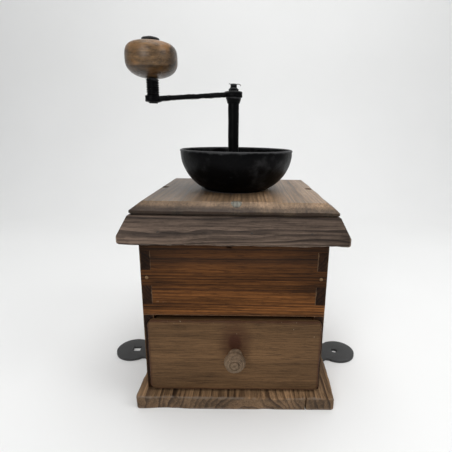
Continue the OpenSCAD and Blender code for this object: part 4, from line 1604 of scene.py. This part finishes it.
@dataclass
class Case:
    """The four finger-jointed boards and their nails."""

    ease: float = 0.45
    holes: tuple[tuple[float, float, float, float], ...] = (
        (-4.3, 160.7, 3.2, 2.1),
        (14.4, 163.3, 2.5, 2.9),
    )
    hole_deep: float = 6.0

    def front(self) -> Piece:
        """The front panel with two old holes under the cornice.

        Returns:
            The panel, ready to place.
        """
        room = Span.of("front_panel")
        bm = worn_copy("front_panel", self.ease)
        for x, z, wide, tall in self.holes:
            deep, past = self.hole_deep, self.hole_deep + 2
            outline = [(0, 0), (wide * 0.6, 0), (wide, deep), (wide * 1.1, past), (0, past)]
            pit = lathe(outline, Vector(), 14)
            bmesh.ops.scale(pit, vec=Vector((1, tall / wide, 1)), verts=pit.verts)
            wander(pit, 0.7, 0.35, seed=8)
            place = Matrix.Translation((x, room.low.y + deep, z)) @ FORWARD
            bmesh.ops.transform(pit, matrix=place, verts=pit.verts)
            bm = cut_away(bm, pit)
        return Piece.of("front_board", "case", PANEL_WOOD, bm, "front_panel", smooth_deg=30, flat=True)

    def board(self, node: str, finish: Wood) -> Piece:
        """A side or back board with eased edges."""
        bm = worn_copy(node, self.ease)
        return Piece.of(node + "_board", "case", finish, bm, node, smooth_deg=30, flat=True)

    def build(self) -> None:
        """Makes the case's pieces."""
        self.front().place()
        left, right = Span.of("side_left"), Span.of("side_right")
        self.board("side_left", replace(CASE_WOOD, pith=(left.low.x - 90, 20.0))).place()
        self.board("side_right", replace(CASE_WOOD, pith=(right.high.x + 80, 60.0))).place()
        back_wood = replace(CASE_WOOD, name="case_back_wood", grain=Axis.X, pith=(120.0, 60.0))
        self.board("back_panel", back_wood).place()
        Fasteners("case_nails", "case", Head.NAIL, NAIL_PUTTY, seed=7).build()


@dataclass
class Cornice:
    """The moulding round the top of the case, mitred at its corners."""

    ledge: float = 6.5
    nose: float = 14.3
    nose_r: float = 6.0
    slope: float = 7.4
    wave: float = 0.9

    def section(self, height: float) -> Section:
        """The moulding's section, outwards and upwards from the foot of its back.

        Args:
            height: the moulding's height.

        Returns:
            The section's points.
        """
        corners = [
            (0, 0, 0),
            (self.nose, 0, self.nose_r),
            (self.nose, self.slope, self.nose_r * 1.6),
            (self.ledge, height, 0.8),
            (0, height, 0),
        ]
        return rounded(corners, 7)

    def run(self, node: str, seed: int) -> Piece:
        """One length of the moulding.

        Args:
            node: the CAD node that it stands for.
            seed: picks its waves.

        Returns:
            The piece.
        """
        room = Span.of(node)
        along = 0 if room.size.x > room.size.y else 1
        side = 1.0 if room.middle[1 - along] > 0 else -1.0
        face = room.high[1 - along] - self.nose if side > 0 else room.low[1 - along] + self.nose
        reach = room.size[along] / 2 - self.nose
        section = self.section(room.size.z)
        parts = 90
        rings = []
        for n in range(parts + 1):
            t = 2 * n / parts - 1
            ring = []
            for out, up in section:
                place = Vector((0, 0, room.low.z + up))
                place[along] = t * (reach + out)
                place[1 - along] = face + side * out
                ring.append(place)
            rings.append(ring)
        bm = loft(rings)

        def share(point: Vector) -> Vector:
            """Frees the moulding's face and holds its back and its top.

            Args:
                point: a place on the mesh.

            Returns:
                How much each axis may move there.
            """
            out = abs(point[1 - along]) - abs(face)
            free = max(0.0, min(1.0, (out - 1.0) / self.ledge))
            amount = free * max(0.0, min(1.0, (room.high.z - point.z) / 3))
            return Vector((amount, amount, amount))

        wander(bm, self.wave, 0.035, seed=seed, where=share)
        wander(bm, self.wave * 0.5, 0.15, seed=seed + 9, where=share)
        hold(bm, room.low, room.high)
        grain = Axis.X if along == 0 else Axis.Y
        finish = replace(CORNICE_WOOD, grain=grain, pith=(face + side * 22.0, room.low.z - 12.0 - 4 * seed))
        return Piece.of(node + "_moulding", "case", finish, bm, node, smooth_deg=50)

    def build(self) -> None:
        """Makes the four lengths and their nails."""
        for seed, node in enumerate(("cornice_front", "cornice_back", "cornice_left", "cornice_right"), 11):
            self.run(node, seed).place()
        Fasteners("cornice_nails", "case", Head.NAIL, CORNICE_NAIL_IRON, seed=9).build()


@dataclass
class Lid:
    """The bevelled top board and its sunk screws."""

    bevel_w: float = 9.6
    bevel_h: float = 7.0
    quirk: float = 1.8
    mill_hole: float = 35.1
    pit_r: float = 4.7
    screw_head: float = 2.2
    wave: float = 0.9
    fray: float = 0.35

    def board(self) -> Piece:
        """The board with worn bevels, holes for the screws and the mill.

        Returns:
            The board, ready to place.
        """
        room, mill = Span.of("lid_board"), Span.of("outer_burr")
        half = (room.size.x / 2, room.size.y / 2)
        tall = room.size.z
        section = rounded(
            [
                (self.quirk, 0, 0),
                (self.quirk, self.quirk, 0.4),
                (0, self.quirk, 0.5),
                (0, tall - self.bevel_h, 0.8),
                (self.bevel_w, tall, 0.9),
                (self.bevel_w + 6, tall, 0),
            ],
            4,
            loop=False,
        )
        bm = loft([plan(half, 1.6, inset, room.low.z + up, 60) for inset, up in section])

        def share(point: Vector) -> Vector:
            """How much each axis may move at a point of the lid."""
            near = near_edge(point, half, self.bevel_w)
            return Vector((near, near, near * 0.5))

        wander(bm, self.wave, 0.035, seed=21, where=share)
        wander(bm, self.fray, 0.18, seed=22, where=share)
        hold(bm, room.low, room.high)
        for place in fixings("lid_screws"):
            floor = place.head.z - self.screw_head
            pit = rod(Vector((place.head.x, place.head.y, 0)), self.pit_r, floor, room.high.z + 1, 28)
            wander(pit, 0.5, 0.3, seed=23, where=lambda p: Vector((1, 1, 0)))
            bm = cut_away(bm, pit)
        centre = Vector((mill.middle.x, mill.middle.y, 0))
        bm = cut_away(bm, rod(centre, self.mill_hole, room.low.z - 1, room.high.z + 1, 64))
        return Piece.of("lid_top", "case", LID_WOOD, bm, "lid_board", smooth_deg=30, flat=True)

    def plugs(self) -> Piece:
        """The two wooden plugs that close the front and back screw holes."""
        bm = worn_copy("lid_plugs", 0.35)
        return Piece.of("screw_plugs", "case", PLUG_WOOD, bm, "lid_plugs", smooth_deg=30)

    def build(self) -> None:
        """Makes the board, its plugs and its screws."""
        self.board().place()
        self.plugs().place()
        Fasteners("lid_screws", "case", Head.ROUND, SCREW_STEEL, seed=12).build()


@dataclass
class Drawer:
    """The lipped drawer with its turned knob."""

    lip: float = 4.1
    corner: float = 6.0
    ease: float = 1.7
    knob_r: float = 9.9
    neck_r: float = 5.4
    neck_long: float = 8.0
    rub_w: float = 7.0
    wave: float = 0.7
    fray: float = 0.35

    def front(self) -> Piece:
        """The lipped front, its edges rubbed round.

        Returns:
            The front, ready to place.
        """
        room = Span.of("drawer_front")
        half = (room.size.x / 2, room.size.z / 2)
        corners = [(0, 0, 0), (0, self.lip, self.ease), (self.ease * 4, self.lip, 0)]
        section = rounded(corners, 6, loop=False)
        bm = loft([plan(half, self.corner, inset, z, 60) for inset, z in [(4.0, 0.0), *section]])

        def share(point: Vector) -> Vector:
            """How much each axis may move at a point of the front."""
            near = near_edge(point, half, self.rub_w)
            return Vector((near, near, near * 0.3 * (point.z > 1)))

        wander(bm, self.wave, 0.05, seed=31, where=share)
        wander(bm, self.fray, 0.22, seed=32, where=share)
        hold(bm, (-half[0], -half[1], 0), (*half, self.lip))
        place = Matrix.Translation((room.middle.x, room.low.y + self.lip, room.middle.z)) @ FORWARD
        bmesh.ops.transform(bm, matrix=place, verts=bm.verts)
        sides = Span.of("drawer_left"), Span.of("drawer_right")
        low = Vector((sides[0].low.x, room.low.y + self.lip - 0.3, sides[0].low.z))
        high = Vector((sides[1].high.x, room.high.y, room.high.z - 1.6))
        inner = ((high.x - low.x) / 2, (high.y - low.y) / 2)
        block = loft([plan(inner, 0.4, 0, z, 4) for z in (low.z, high.z)])
        middle = Vector(((high.x + low.x) / 2, (high.y + low.y) / 2, 0))
        bmesh.ops.translate(block, vec=middle, verts=block.verts)
        knob = Span.of("drawer_knob")
        finish = replace(DRAWER_WOOD, knob_mm=(knob.middle.x, knob.middle.z))
        return Piece.of("drawer_face", "drawer", finish, join([bm, block]), "drawer_front")

    def knob(self) -> Piece:
        """The turned knob with a ring cut in its face.

        Returns:
            The knob, ready to place.
        """
        room = Span.of("drawer_knob")
        long = room.size.y
        r = self.knob_r
        section = [
            (0, 0, 0),
            (self.neck_r + 1.5, 0, 0.5),
            (self.neck_r + 1.3, 1.8, 0.6),
            (self.neck_r - 0.2, 2.6, 0.6),
            (self.neck_r, self.neck_long - 1.2, 0.8),
            (r - 2.2, self.neck_long, 0.8),
            (r - 1.6, self.neck_long + 1.2, 0.5),
            (r - 0.3, self.neck_long + 1.6, 1.0),
            (r, self.neck_long + 4.2, 1.6),
            (r - 1.2, long - 2.2, 1.2),
            (r - 2.6, long - 1.8, 0.4),
            (r - 3.0, long - 0.7, 0.6),
            (r - 5.0, long - 0.2, 0.5),
            (r - 5.5, long - 1.2, 0.3),
            (r - 6.2, long - 1.1, 0.3),
            (r - 6.6, long, 0.5),
            (1.3, long, 0.4),
            (0.9, long - 1.0, 0.3),
            (0, long - 1.1, 0),
        ]
        bm = lathe(rounded(section, 4, loop=False), Vector(), 56)
        wander(bm, 0.35, 0.12, seed=41)
        place = Matrix.Translation((room.middle.x, room.high.y, room.middle.z)) @ FORWARD
        bmesh.ops.transform(bm, matrix=place, verts=bm.verts)
        centre, pith = (room.middle.x, room.middle.z), (room.middle.x + 2.0, room.middle.z + 1.0)
        finish = replace(KNOB_WOOD, centre=centre, pith=pith)
        return Piece.of("drawer_pull", "drawer", finish, bm, "drawer_knob", smooth_deg=60)

    def build(self) -> None:
        """Makes the front and the knob, and dresses the box behind them."""
        self.front().place()
        self.knob().place()
        for node in ("drawer_left", "drawer_right", "drawer_back", "drawer_bottom"):
            grain = Axis.X if node in ("drawer_back", "drawer_bottom") else Axis.Y
            dress([node], replace(BOX_WOOD, name=node + "_pine", grain=grain))
        Fasteners("drawer_nails", "drawer", Head.NAIL, NAIL_IRON, seed=14).build()
        Fasteners("drawer_knob_screw", "drawer", Head.ROUND, SCREW_STEEL, seed=15).build()


@dataclass
class Hopper:
    """The open bowl of beaten iron and what holds it."""

    arc: float = 41.5
    straight: float = 2.4
    wall: float = 1.8
    bead: float = 1.4
    dent: float = 0.55
    lug_r: float = 41.0
    lug_w: float = 11.0
    lug_degs: tuple[float, ...] = (50.0, 130.0)

    def bowl(self) -> Piece:
        """The bowl with its rolled rim and the lugs at its foot.

        Returns:
            The bowl, ready to place.
        """
        room = Span.of("hopper_bowl")
        centre = Vector((room.middle.x, room.middle.y, 0))
        foot, rim = room.low.z, room.high.z
        shift = room.size.x / 2 - self.arc
        bend = rim - self.straight

        def side(arc: float) -> Section:
            """One side of the bowl's wall, from the rim down.

            Args:
                arc: the radius of the bowl's round part.

            Returns:
                The outline's points.
            """
            deep = math.asin((bend - foot) / arc)
            turns = (deep * n / 32 for n in range(33))
            curve = [(shift + arc * math.cos(a), bend - arc * math.sin(a)) for a in turns]
            return [(shift + arc, bend + self.straight * k / 3) for k in (2, 1)] + curve

        outer, inner = side(self.arc), side(self.arc - self.wall)[::-1]
        edge = room.size.x / 2 - self.wall / 2
        roll = [
            (edge + self.bead * math.cos(t), rim - self.bead + self.bead * math.sin(t))
            for t in (math.radians(160 - 30 * n) for n in range(7))
        ]
        section = outer + inner + roll
        bm = lathe(section, centre, 128, loop=True)

        def share(point: Vector) -> Vector:
            """How much each axis may move at a point of the bowl."""
            below = min(1.0, (rim - point.z + 2.5) / 12)
            return Vector((1, 1, 0.5)) * below * min(1.0, (point.z - foot + 1.5) / 4)

        wander(bm, self.dent, 0.055, seed=51, where=share)
        wander(bm, self.dent * 0.45, 0.14, seed=52, where=share)
        lugs = [self.lug(turn, centre, foot) for turn in range(len(self.lug_degs))]
        return Piece.of("bowl", "case", BLACK_IRON, join([bm, *lugs]), "hopper_bowl", smooth_deg=60)

    def lug(self, turn: int, centre: Vector, foot: float) -> bmesh.types.BMesh:
        """One hammered lug at the bowl's foot.

        Args:
            turn: which of the lugs.
            centre: a point on the bowl's axis.
            foot: height of the lug's underside.

        Returns:
            Its mesh.
        """
        half = (self.lug_w / 2 + 2, self.lug_w / 2)
        layers = ((0.4, 0), (0, 0.4), (0, 1.5), (0.5, self.wall))
        lug = loft([plan(half, 4.5, inset, z, 6) for inset, z in layers])
        wander(lug, 0.5, 0.15, seed=53 + turn)
        spin = Matrix.Rotation(math.radians(self.lug_degs[turn]), 4, "Z")
        out = Matrix.Translation((self.lug_r - 2, 0, 0))
        place = Matrix.Translation(centre + Vector((0, 0, foot))) @ spin @ out
        bmesh.ops.transform(lug, matrix=place, verts=lug.verts)
        for vertex in lug.verts:
            vertex.co.z = max(vertex.co.z, foot)
        return lug

    def bridge(self) -> Piece:
        """The bar across the bowl that guides the spindle."""
        bm = worn_copy("spindle_bridge", 0.7)
        return Piece.of("bridge_bar", "case", BLACK_IRON, bm, "spindle_bridge")

    def build(self) -> None:
        """Makes the bowl, the bridge and their fasteners."""
        self.bowl().place()
        self.bridge().place()
        dress(["bridge_rivets"], BLACK_IRON)
        Fasteners("hopper_screws", "case", Head.ROUND, SCREW_STEEL, seed=16).build()


@dataclass
class Burrs:
    """The grinding burrs and the stirrup that sets their gap."""

    ease: float = 0.4

    def build(self) -> None:
        """Dresses the cast parts and makes the eased ones."""
        dress(["outer_burr", "inner_burr"], BURR_IRON)
        dress(["burr_key", "lock_nut", "adjust_screw"], SCREW_STEEL)
        dress(["pivot_ball"], BALL_STEEL)
        finish = replace(BURR_IRON, name="stirrup_iron")
        Piece.of("stirrup_bar", "case", finish, worn_copy("stirrup", self.ease), "stirrup").place()
        Fasteners("burr_screws", "case", Head.ROUND, SCREW_STEEL, seed=17).build()


@dataclass
class Crank:
    """The spindle's upper end and the forged arm with its nut and split pin."""

    spindle_r: float = 5.5
    thread_r: float = 3.4
    hub_r: float = 8.8
    arm_w: float = 9.0
    bar_t: float = 4.8
    eye_t: float = 6.0
    pin_r: float = 3.2
    pitch: float = 1.25
    swell_mm: float = 6.0
    tip_mm: float = 5.7
    wire_r: float = 0.36

    def axis(self) -> Vector:
        """A point on the spindle's axis."""
        middle = Span.of("crank_collar").middle
        return Vector((middle.x, middle.y, 0))

    def spindle(self) -> Piece:
        """The rough round spindle with its threaded tip.

        Returns:
            The spindle, ready to place.
        """
        room, arm = Span.of("spindle"), Span.of("crank_arm")
        neck = arm.high.z
        section = [(0, room.low.z, 0), (self.spindle_r, room.low.z, 0.5)]
        swells = range(1, int((neck - room.low.z - 8) / self.swell_mm))
        section += [(self.spindle_r, room.low.z + self.swell_mm * n, 3) for n in swells]
        section.append((self.spindle_r, neck - self.tip_mm, 0.3))
        section.append((self.thread_r, neck - self.tip_mm + 0.1, 0.2))
        z = neck - 5.0
        while z < room.high.z - 1.2:
            section += [(self.thread_r, z, 0.1), (self.thread_r - 0.35, z + self.pitch / 2, 0.1)]
            z += self.pitch
        section += [(self.thread_r, room.high.z - 0.9, 0.2), (self.thread_r - 0.9, room.high.z, 0.2)]
        section.append((0, room.high.z, 0))
        bm = lathe(rounded(section, 2, loop=False), self.axis(), 32)
        wander(bm, 0.3, 0.12, seed=61, where=lambda p: Vector((1, 1, 0)) * (p.z < neck - self.tip_mm))
        return Piece.of("spindle_shaft", "crank", BLACK_IRON, bm, "spindle")

    def collar(self) -> Piece:
        """The flared collar below the arm.

        Returns:
            The collar, ready to place.
        """
        room = Span.of("crank_collar")
        wide = room.size.x / 2
        section = [
            (self.spindle_r - 0.4, room.low.z, 0),
            (self.spindle_r + 0.6, room.low.z, 0.4),
            (wide - 0.5, room.high.z - 2.5, 2.0),
            (wide, room.high.z - 1.2, 0.8),
            (wide - 0.3, room.high.z, 0.4),
            (self.spindle_r - 0.4, room.high.z, 0),
        ]
        bm = lathe(rounded(section, 4), self.axis(), 40, loop=True)
        wander(bm, 0.4, 0.2, seed=62, where=lambda p: Vector((1, 1, 0.2)))
        return Piece.of("collar", "crank", BLACK_IRON, bm, "crank_collar", smooth_deg=50)

    def arm(self) -> Piece:
        """The hammered arm, flat at its hub and with an eye at its end.

        Returns:
            The arm, ready to place.
        """
        room, knob = Span.of("crank_arm"), Span.of("handle_knob")
        centre, far = self.axis(), Vector((knob.middle.x, knob.middle.y, 0))
        hub_low = Span.of("crank_collar").high.z
        hub_top = room.high.z
        start = Vector((centre.x, 0, (hub_low + hub_top) / 2))
        end = Vector((far.x, 0, room.low.z + self.eye_t / 2))
        rings = []
        for n in range(25):
            t = n / 24
            middle = start.lerp(end, t)
            wide = self.arm_w / 2 * (1.12 - 0.3 * math.sin(math.pi * t) + 0.1 * t)
            tall = self.bar_t / 2 * (1.1 - 0.2 * math.sin(math.pi * t))
            ring = plan((wide, tall), 1.4, 0, 0, 3)
            rings.append([middle + Vector((0, p.x, p.y)) for p in ring])
        bar = loft(rings)
        hub = rod(centre, self.hub_r, hub_low, hub_top)
        eye = rod(far, far.x - room.low.x, room.low.z, room.low.z + self.eye_t)
        bm = forged(join([bar, hub, eye]), 0.45, 4)
        wander(bm, 0.5, 0.11, seed=63)
        wander(bm, 0.25, 0.4, seed=64)
        hold(bm, room.low, room.high)
        bm = cut_away(bm, rod(centre, self.spindle_r * 0.72, room.low.z - 5, room.high.z + 5))
        bm = cut_away(bm, rod(far, self.pin_r, room.low.z - 5, room.high.z + 5))
        return Piece.of("forged_arm", "crank", BLACK_IRON, bm, "crank_arm", smooth_deg=60)

    def nut(self) -> Piece:
        """The six-sided nut, worn to a dome.

        Returns:
            The nut, ready to place.
        """
        room = Span.of("crank_nut")
        flat = room.size.y / 2 if room.size.y < room.size.x else room.size.x / 2
        rings = []
        for up, cut_in in ((0, 0.3), (0.3, 0.0), (0.5, 0.1), (0.75, 0.6), (0.9, 1.1), (1.0, 1.8)):
            ring = []
            for n in range(48):
                a = 2 * math.pi * n / 48
                reach = flat / math.cos((a % (math.pi / 3)) - math.pi / 6)
                corner = (reach - flat) * (2.2 if up > 0.5 else 0.2)
                radius = max(reach - cut_in - corner * cut_in, 0.5)
                height = room.low.z + room.size.z * up
                ring.append(self.axis() + Vector((radius * math.cos(a), radius * math.sin(a), height)))
            rings.append(ring)
        bm = loft(rings)
        wander(bm, 0.25, 0.4, seed=65, where=lambda p: Vector((1, 1, 0)))
        bm = cut_away(bm, rod(self.axis(), self.thread_r + 0.05, room.low.z - 1, room.high.z + 1))
        return Piece.of("hub_nut", "crank", BLACK_IRON, bm, "crank_nut", smooth_deg=40)

    def split_pin(self) -> Piece:
        """The bent wire pin through the spindle's tip.

        Returns:
            The split pin, ready to place.
        """
        room = Span.of("split_pin")
        z = room.high.z - 1.1
        y = self.axis().y
        x0, x1 = self.axis().x - self.thread_r - 1.2, room.high.x - 0.9
        bms = []
        for side in (-1, 1):
            path = [
                Vector((x0, y, z)),
                Vector((x0 + 0.4, y + side * 0.45, z + 0.35)),
                Vector((x0 + 1.6, y + side * 0.32, z)),
                Vector((x1 - 2.2, y + side * 0.32, z)),
                Vector((x1 - 0.6, y + side * 0.6, z - 0.3)),
                Vector((x1, y + side * 1.2, z - 1.5)),
            ]
            rings = []
            for n, point in enumerate(path):
                ahead = (path[min(n + 1, len(path) - 1)] - path[max(n - 1, 0)]).normalized()
                aim = ahead.to_track_quat("Z", "Y")
                turns = (2 * math.pi * k / 10 for k in range(10))
                spokes = (Vector((math.cos(a), math.sin(a), 0)) * self.wire_r for a in turns)
                rings.append([point + aim @ spoke for spoke in spokes])
            bms.append(loft(rings))
        return Piece.of("cotter", "crank", SCREW_STEEL, join(bms), "split_pin", smooth_deg=60)

    def build(self) -> None:
        """Makes the crank's pieces."""
        for piece in (self.spindle(), self.collar(), self.arm(), self.nut(), self.split_pin()):
            piece.place()


@dataclass
class Handle:
    """The turned handle on its pin, with a ribbed sleeve below it."""

    pin_r: float = 3.2
    low_n: float = 2.3
    top_n: float = 3.7
    widest: float = 0.49
    rib: float = 1.1

    def axis(self) -> Vector:
        """A point on the pin's axis."""
        middle = Span.of("handle_knob").middle
        return Vector((middle.x, middle.y, 0))

    def knob(self) -> Piece:
        """The wooden handle, rounder below than above.

        Returns:
            The handle, ready to place.
        """
        room = Span.of("handle_knob")
        tall, wide = room.size.z, room.size.x / 2
        low = tall * self.widest
        section = [(self.pin_r + 0.3, 0.0)]
        for a in range(-84, 85, 4):
            n, reach = (self.low_n, low) if a < 0 else (self.top_n, tall - low)
            bend = math.radians(a)
            rise = reach * abs(math.sin(bend)) ** (2 / n)
            section.append((wide * math.cos(bend) ** (2 / n), low + math.copysign(rise, a)))
        section.append((self.pin_r + 0.3, tall))
        bm = lathe([(r, room.low.z + z) for r, z in section], self.axis(), 96, loop=True)
        wander(bm, 0.35, 0.04, seed=71, where=lambda p: Vector((1, 1, 0)))
        finish = replace(
            HANDLE_WOOD,
            centre=(room.middle.x, room.middle.y),
            pith=(room.middle.y + 70.0, room.low.z - 190.0),
            # Painted shade over the handle's lower half.
            grimy_mm=(room.low.z + 3.0, room.middle.z + 4.0),
            grime=0.7,
        )
        return Piece.of("handle_grip", "knob", finish, bm, "handle_knob", smooth_deg=60)

    def pin(self) -> Piece:
        """The riveted pin that carries the handle.

        Returns:
            The pin, ready to place.
        """
        room = Span.of("handle_pin")
        head = room.size.x / 2
        section = [
            (0, room.low.z, 0),
            (head - 0.8, room.low.z, 0.6),
            (head, room.low.z + 0.7, 0.4),
            (self.pin_r, room.low.z + 1.4, 0.3),
            (self.pin_r, room.high.z - 1.2, 0.2),
            (head, room.high.z - 1.0, 0.4),
            (head - 1.0, room.high.z - 0.1, 0.5),
            (0, room.high.z, 0),
        ]
        bm = lathe(rounded(section, 3, loop=False), self.axis(), 28)

        def share(point: Vector) -> Vector:
            """How much each axis may move at a point of the pin."""
            return Vector((1, 1, 0.3)) * (point.z > room.high.z - 1.3 or point.z < room.low.z + 1.5)

        wander(bm, 0.2, 0.35, seed=72, where=share)
        return Piece.of("handle_rivet", "crank", BLACK_IRON, bm, "handle_pin", smooth_deg=60)

    def sleeve(self) -> Piece:
        """The ribbed iron sleeve between the arm and the handle.

        Returns:
            The sleeve, ready to place.
        """
        room = Span.of("handle_sleeve")
        wide = room.size.x / 2
        count = int(room.size.z / (2 * self.rib))
        low, high, body_r = room.low.z, room.high.z, wide - 0.7
        wall = [(self.pin_r, low), (body_r, low), (body_r, high), (self.pin_r, high)]
        core = lathe(wall, self.axis(), 40, loop=True)
        inputs = {
            "Count": ("NodeSocketInt", count),
            "Spacing": ("NodeSocketFloat", room.size.z / count),
            "Ring": ("NodeSocketFloat", wide - 0.62),
            "Rib": ("NodeSocketFloat", self.rib * 0.62),
            "Finish": ("NodeSocketMaterial", BLACK_IRON.material(room.metres)),
        }
        pattern = Pattern("ribbed_sleeve", inputs)
        given = pattern.given
        step = pattern.node("ShaderNodeCombineXYZ", inputs={"Z": given["Spacing"]})
        line = pattern.node(
            "GeometryNodeMeshLine", {"mode": "OFFSET"}, {"Count": given["Count"], "Offset": step["Vector"]}
        )
        circle, mode = "GeometryNodeCurvePrimitiveCircle", {"mode": "RADIUS"}
        ring = pattern.node(circle, mode, {"Resolution": 40, "Radius": given["Ring"]})
        rib = pattern.node(circle, mode, {"Resolution": 10, "Radius": given["Rib"]})
        swept = {"Curve": ring["Curve"], "Profile Curve": rib["Curve"]}
        hoop = pattern.node("GeometryNodeCurveToMesh", inputs=swept)
        spots = {"Points": line["Mesh"], "Instance": hoop["Mesh"]}
        hoops = pattern.node("GeometryNodeInstanceOnPoints", inputs=spots)
        pattern.close(hoops["Instances"])
        bm = pattern.grow(as_object(bmesh.new(), "sleeve_seed"))
        first = Vector((0, 0, room.low.z + room.size.z / count / 2))
        bmesh.ops.translate(bm, vec=self.axis() + first, verts=bm.verts)
        wander(bm, 0.25, 0.3, seed=73)
        bm = join([core, bm])
        return Piece.of("ribbed_sleeve", "crank", BLACK_IRON, bm, "handle_sleeve", smooth_deg=60)

    def washer(self) -> Piece:
        """The flat washer on top of the handle.

        Returns:
            The washer, ready to place.
        """
        room = Span.of("handle_washer")
        wide, tall = room.size.x / 2, room.size.z
        section = [(self.pin_r, 0, 0), (wide, 0, 0.9), (wide, tall, 1.3), (self.pin_r, tall, 0)]
        bm = lathe([(r, room.low.z + z) for r, z in rounded(section, 4)], self.axis(), 40, loop=True)
        wander(bm, 0.3, 0.1, seed=74, where=lambda p: Vector((1, 1, 0)))
        return Piece.of("top_washer", "crank", BLACK_IRON, bm, "handle_washer", smooth_deg=60)

    def build(self) -> None:
        """Makes the handle's pieces."""
        for piece in (self.knob(), self.pin(), self.sleeve(), self.washer()):
            piece.place()


# ------------------------------------------------------------------ studio


@dataclass
class Studio:
    """A pale floor and wall, soft lamps and the camera."""

    lens: float = 28.29
    place_mm: Point = (9.36, -381.43, 258.52)
    tilt_deg: float = 14.77
    turn_deg: float = 0.52
    roll_deg: float = 0.9
    shift: tuple[float, float] = (-0.0493, 0.0)
    wall_y: float = 1.1
    bend: float = 0.5
    sky: float = 0.35
    sky_colour: Colour = (0.95, 0.97, 1.0)
    film: float = 36.0
    lamps: tuple[tuple[Point, Point, float, float], ...] = (
        ((0.1, 0.0, 1.6), (0, 0, 0.1), 1.5, 14.5),
        ((1.0, -0.45, 0.95), (0, 0, 0.15), 0.7, 4.0),
        ((-0.5, -1.3, 0.9), (0, 0, 0.15), 0.9, 8.0),
    )

    def backdrop(self) -> None:
        """The floor and wall in one sheet with a soft bend."""
        wide, near, tall, bend = 3.0, -2.5, 3.0, self.bend
        side = [(near, 0.0), (self.wall_y - bend, 0.0)]
        side += [
            (self.wall_y - bend + bend * math.sin(a), bend - bend * math.cos(a))
            for a in (math.pi / 2 * n / 12 for n in range(1, 13))
        ]
        side.append((self.wall_y, tall))
        points = [(x, y, z) for y, z in side for x in (-wide, wide)]
        faces = [(2 * n, 2 * n + 1, 2 * n + 3, 2 * n + 2) for n in range(len(side) - 1)]
        mesh = bpy.data.meshes.new("backdrop")
        mesh.from_pydata(points, [], faces)
        mesh.shade_smooth()
        mesh.set_sharp_from_angle(angle=math.radians(30))
        mesh.materials.append(Backdrop().material())
        sheet = bpy.data.objects.new("backdrop", mesh)
        bpy.context.scene.collection.objects.link(sheet)

    def light(self) -> None:
        """Large soft lamps and an even white surround."""
        for k, (place, target, size, power) in enumerate(self.lamps):
            lamp = bpy.data.lights.new(f"lamp_{k}", "AREA")
            lamp.shape, lamp.size, lamp.energy = "DISK", size, power
            holder = bpy.data.objects.new(f"lamp_{k}", lamp)
            holder.location = place
            holder.rotation_euler = (Vector(target) - Vector(place)).to_track_quat("-Z", "Y").to_euler()
            bpy.context.scene.collection.objects.link(holder)
        world = bpy.data.worlds.new("surround")
        world.use_nodes = True
        sky = world.node_tree.nodes["Background"]
        sky.inputs["Color"].default_value = (*self.sky_colour, 1.0)
        sky.inputs["Strength"].default_value = self.sky
        bpy.context.scene.world = world
        bpy.context.scene.view_settings.view_transform = "Standard"

    def camera(self) -> None:
        """The camera, a little above the bowl and looking down at the drawer."""
        tilt, turn, roll = (math.radians(v) for v in (self.tilt_deg, self.turn_deg, self.roll_deg))
        ahead = Vector((math.sin(turn) * math.cos(tilt), math.cos(turn) * math.cos(tilt), -math.sin(tilt)))
        right = Vector((math.cos(turn), -math.sin(turn), 0))
        up = right.cross(ahead)
        across = right * math.cos(roll) + up * math.sin(roll)
        upright = up * math.cos(roll) - right * math.sin(roll)
        data = bpy.data.cameras.new("camera")
        data.lens, data.sensor_width = self.lens, self.film
        data.shift_x, data.shift_y = self.shift
        data.clip_start = 0.01
        eye = bpy.data.objects.new("camera", data)
        turned = Matrix((across, upright, -ahead)).transposed().to_4x4()
        eye.matrix_world = Matrix.Translation(Vector(self.place_mm) * MM) @ turned
        bpy.context.scene.collection.objects.link(eye)
        bpy.context.scene.camera = eye

    def build(self) -> None:
        """Sets up the studio."""
        self.backdrop()
        self.light()
        self.camera()


def main() -> None:
    """Builds the mill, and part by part."""
    logging.basicConfig(level=logging.INFO, format="%(name)s: %(message)s")
    for kind in (Base, Case, Cornice, Lid, Drawer, Hopper, Burrs, Crank, Handle, Studio):
        LOG.info("building %s", kind.__name__)
        kind().build()
    bpy.context.view_layer.update()


if __name__ == "__main__":
    main()
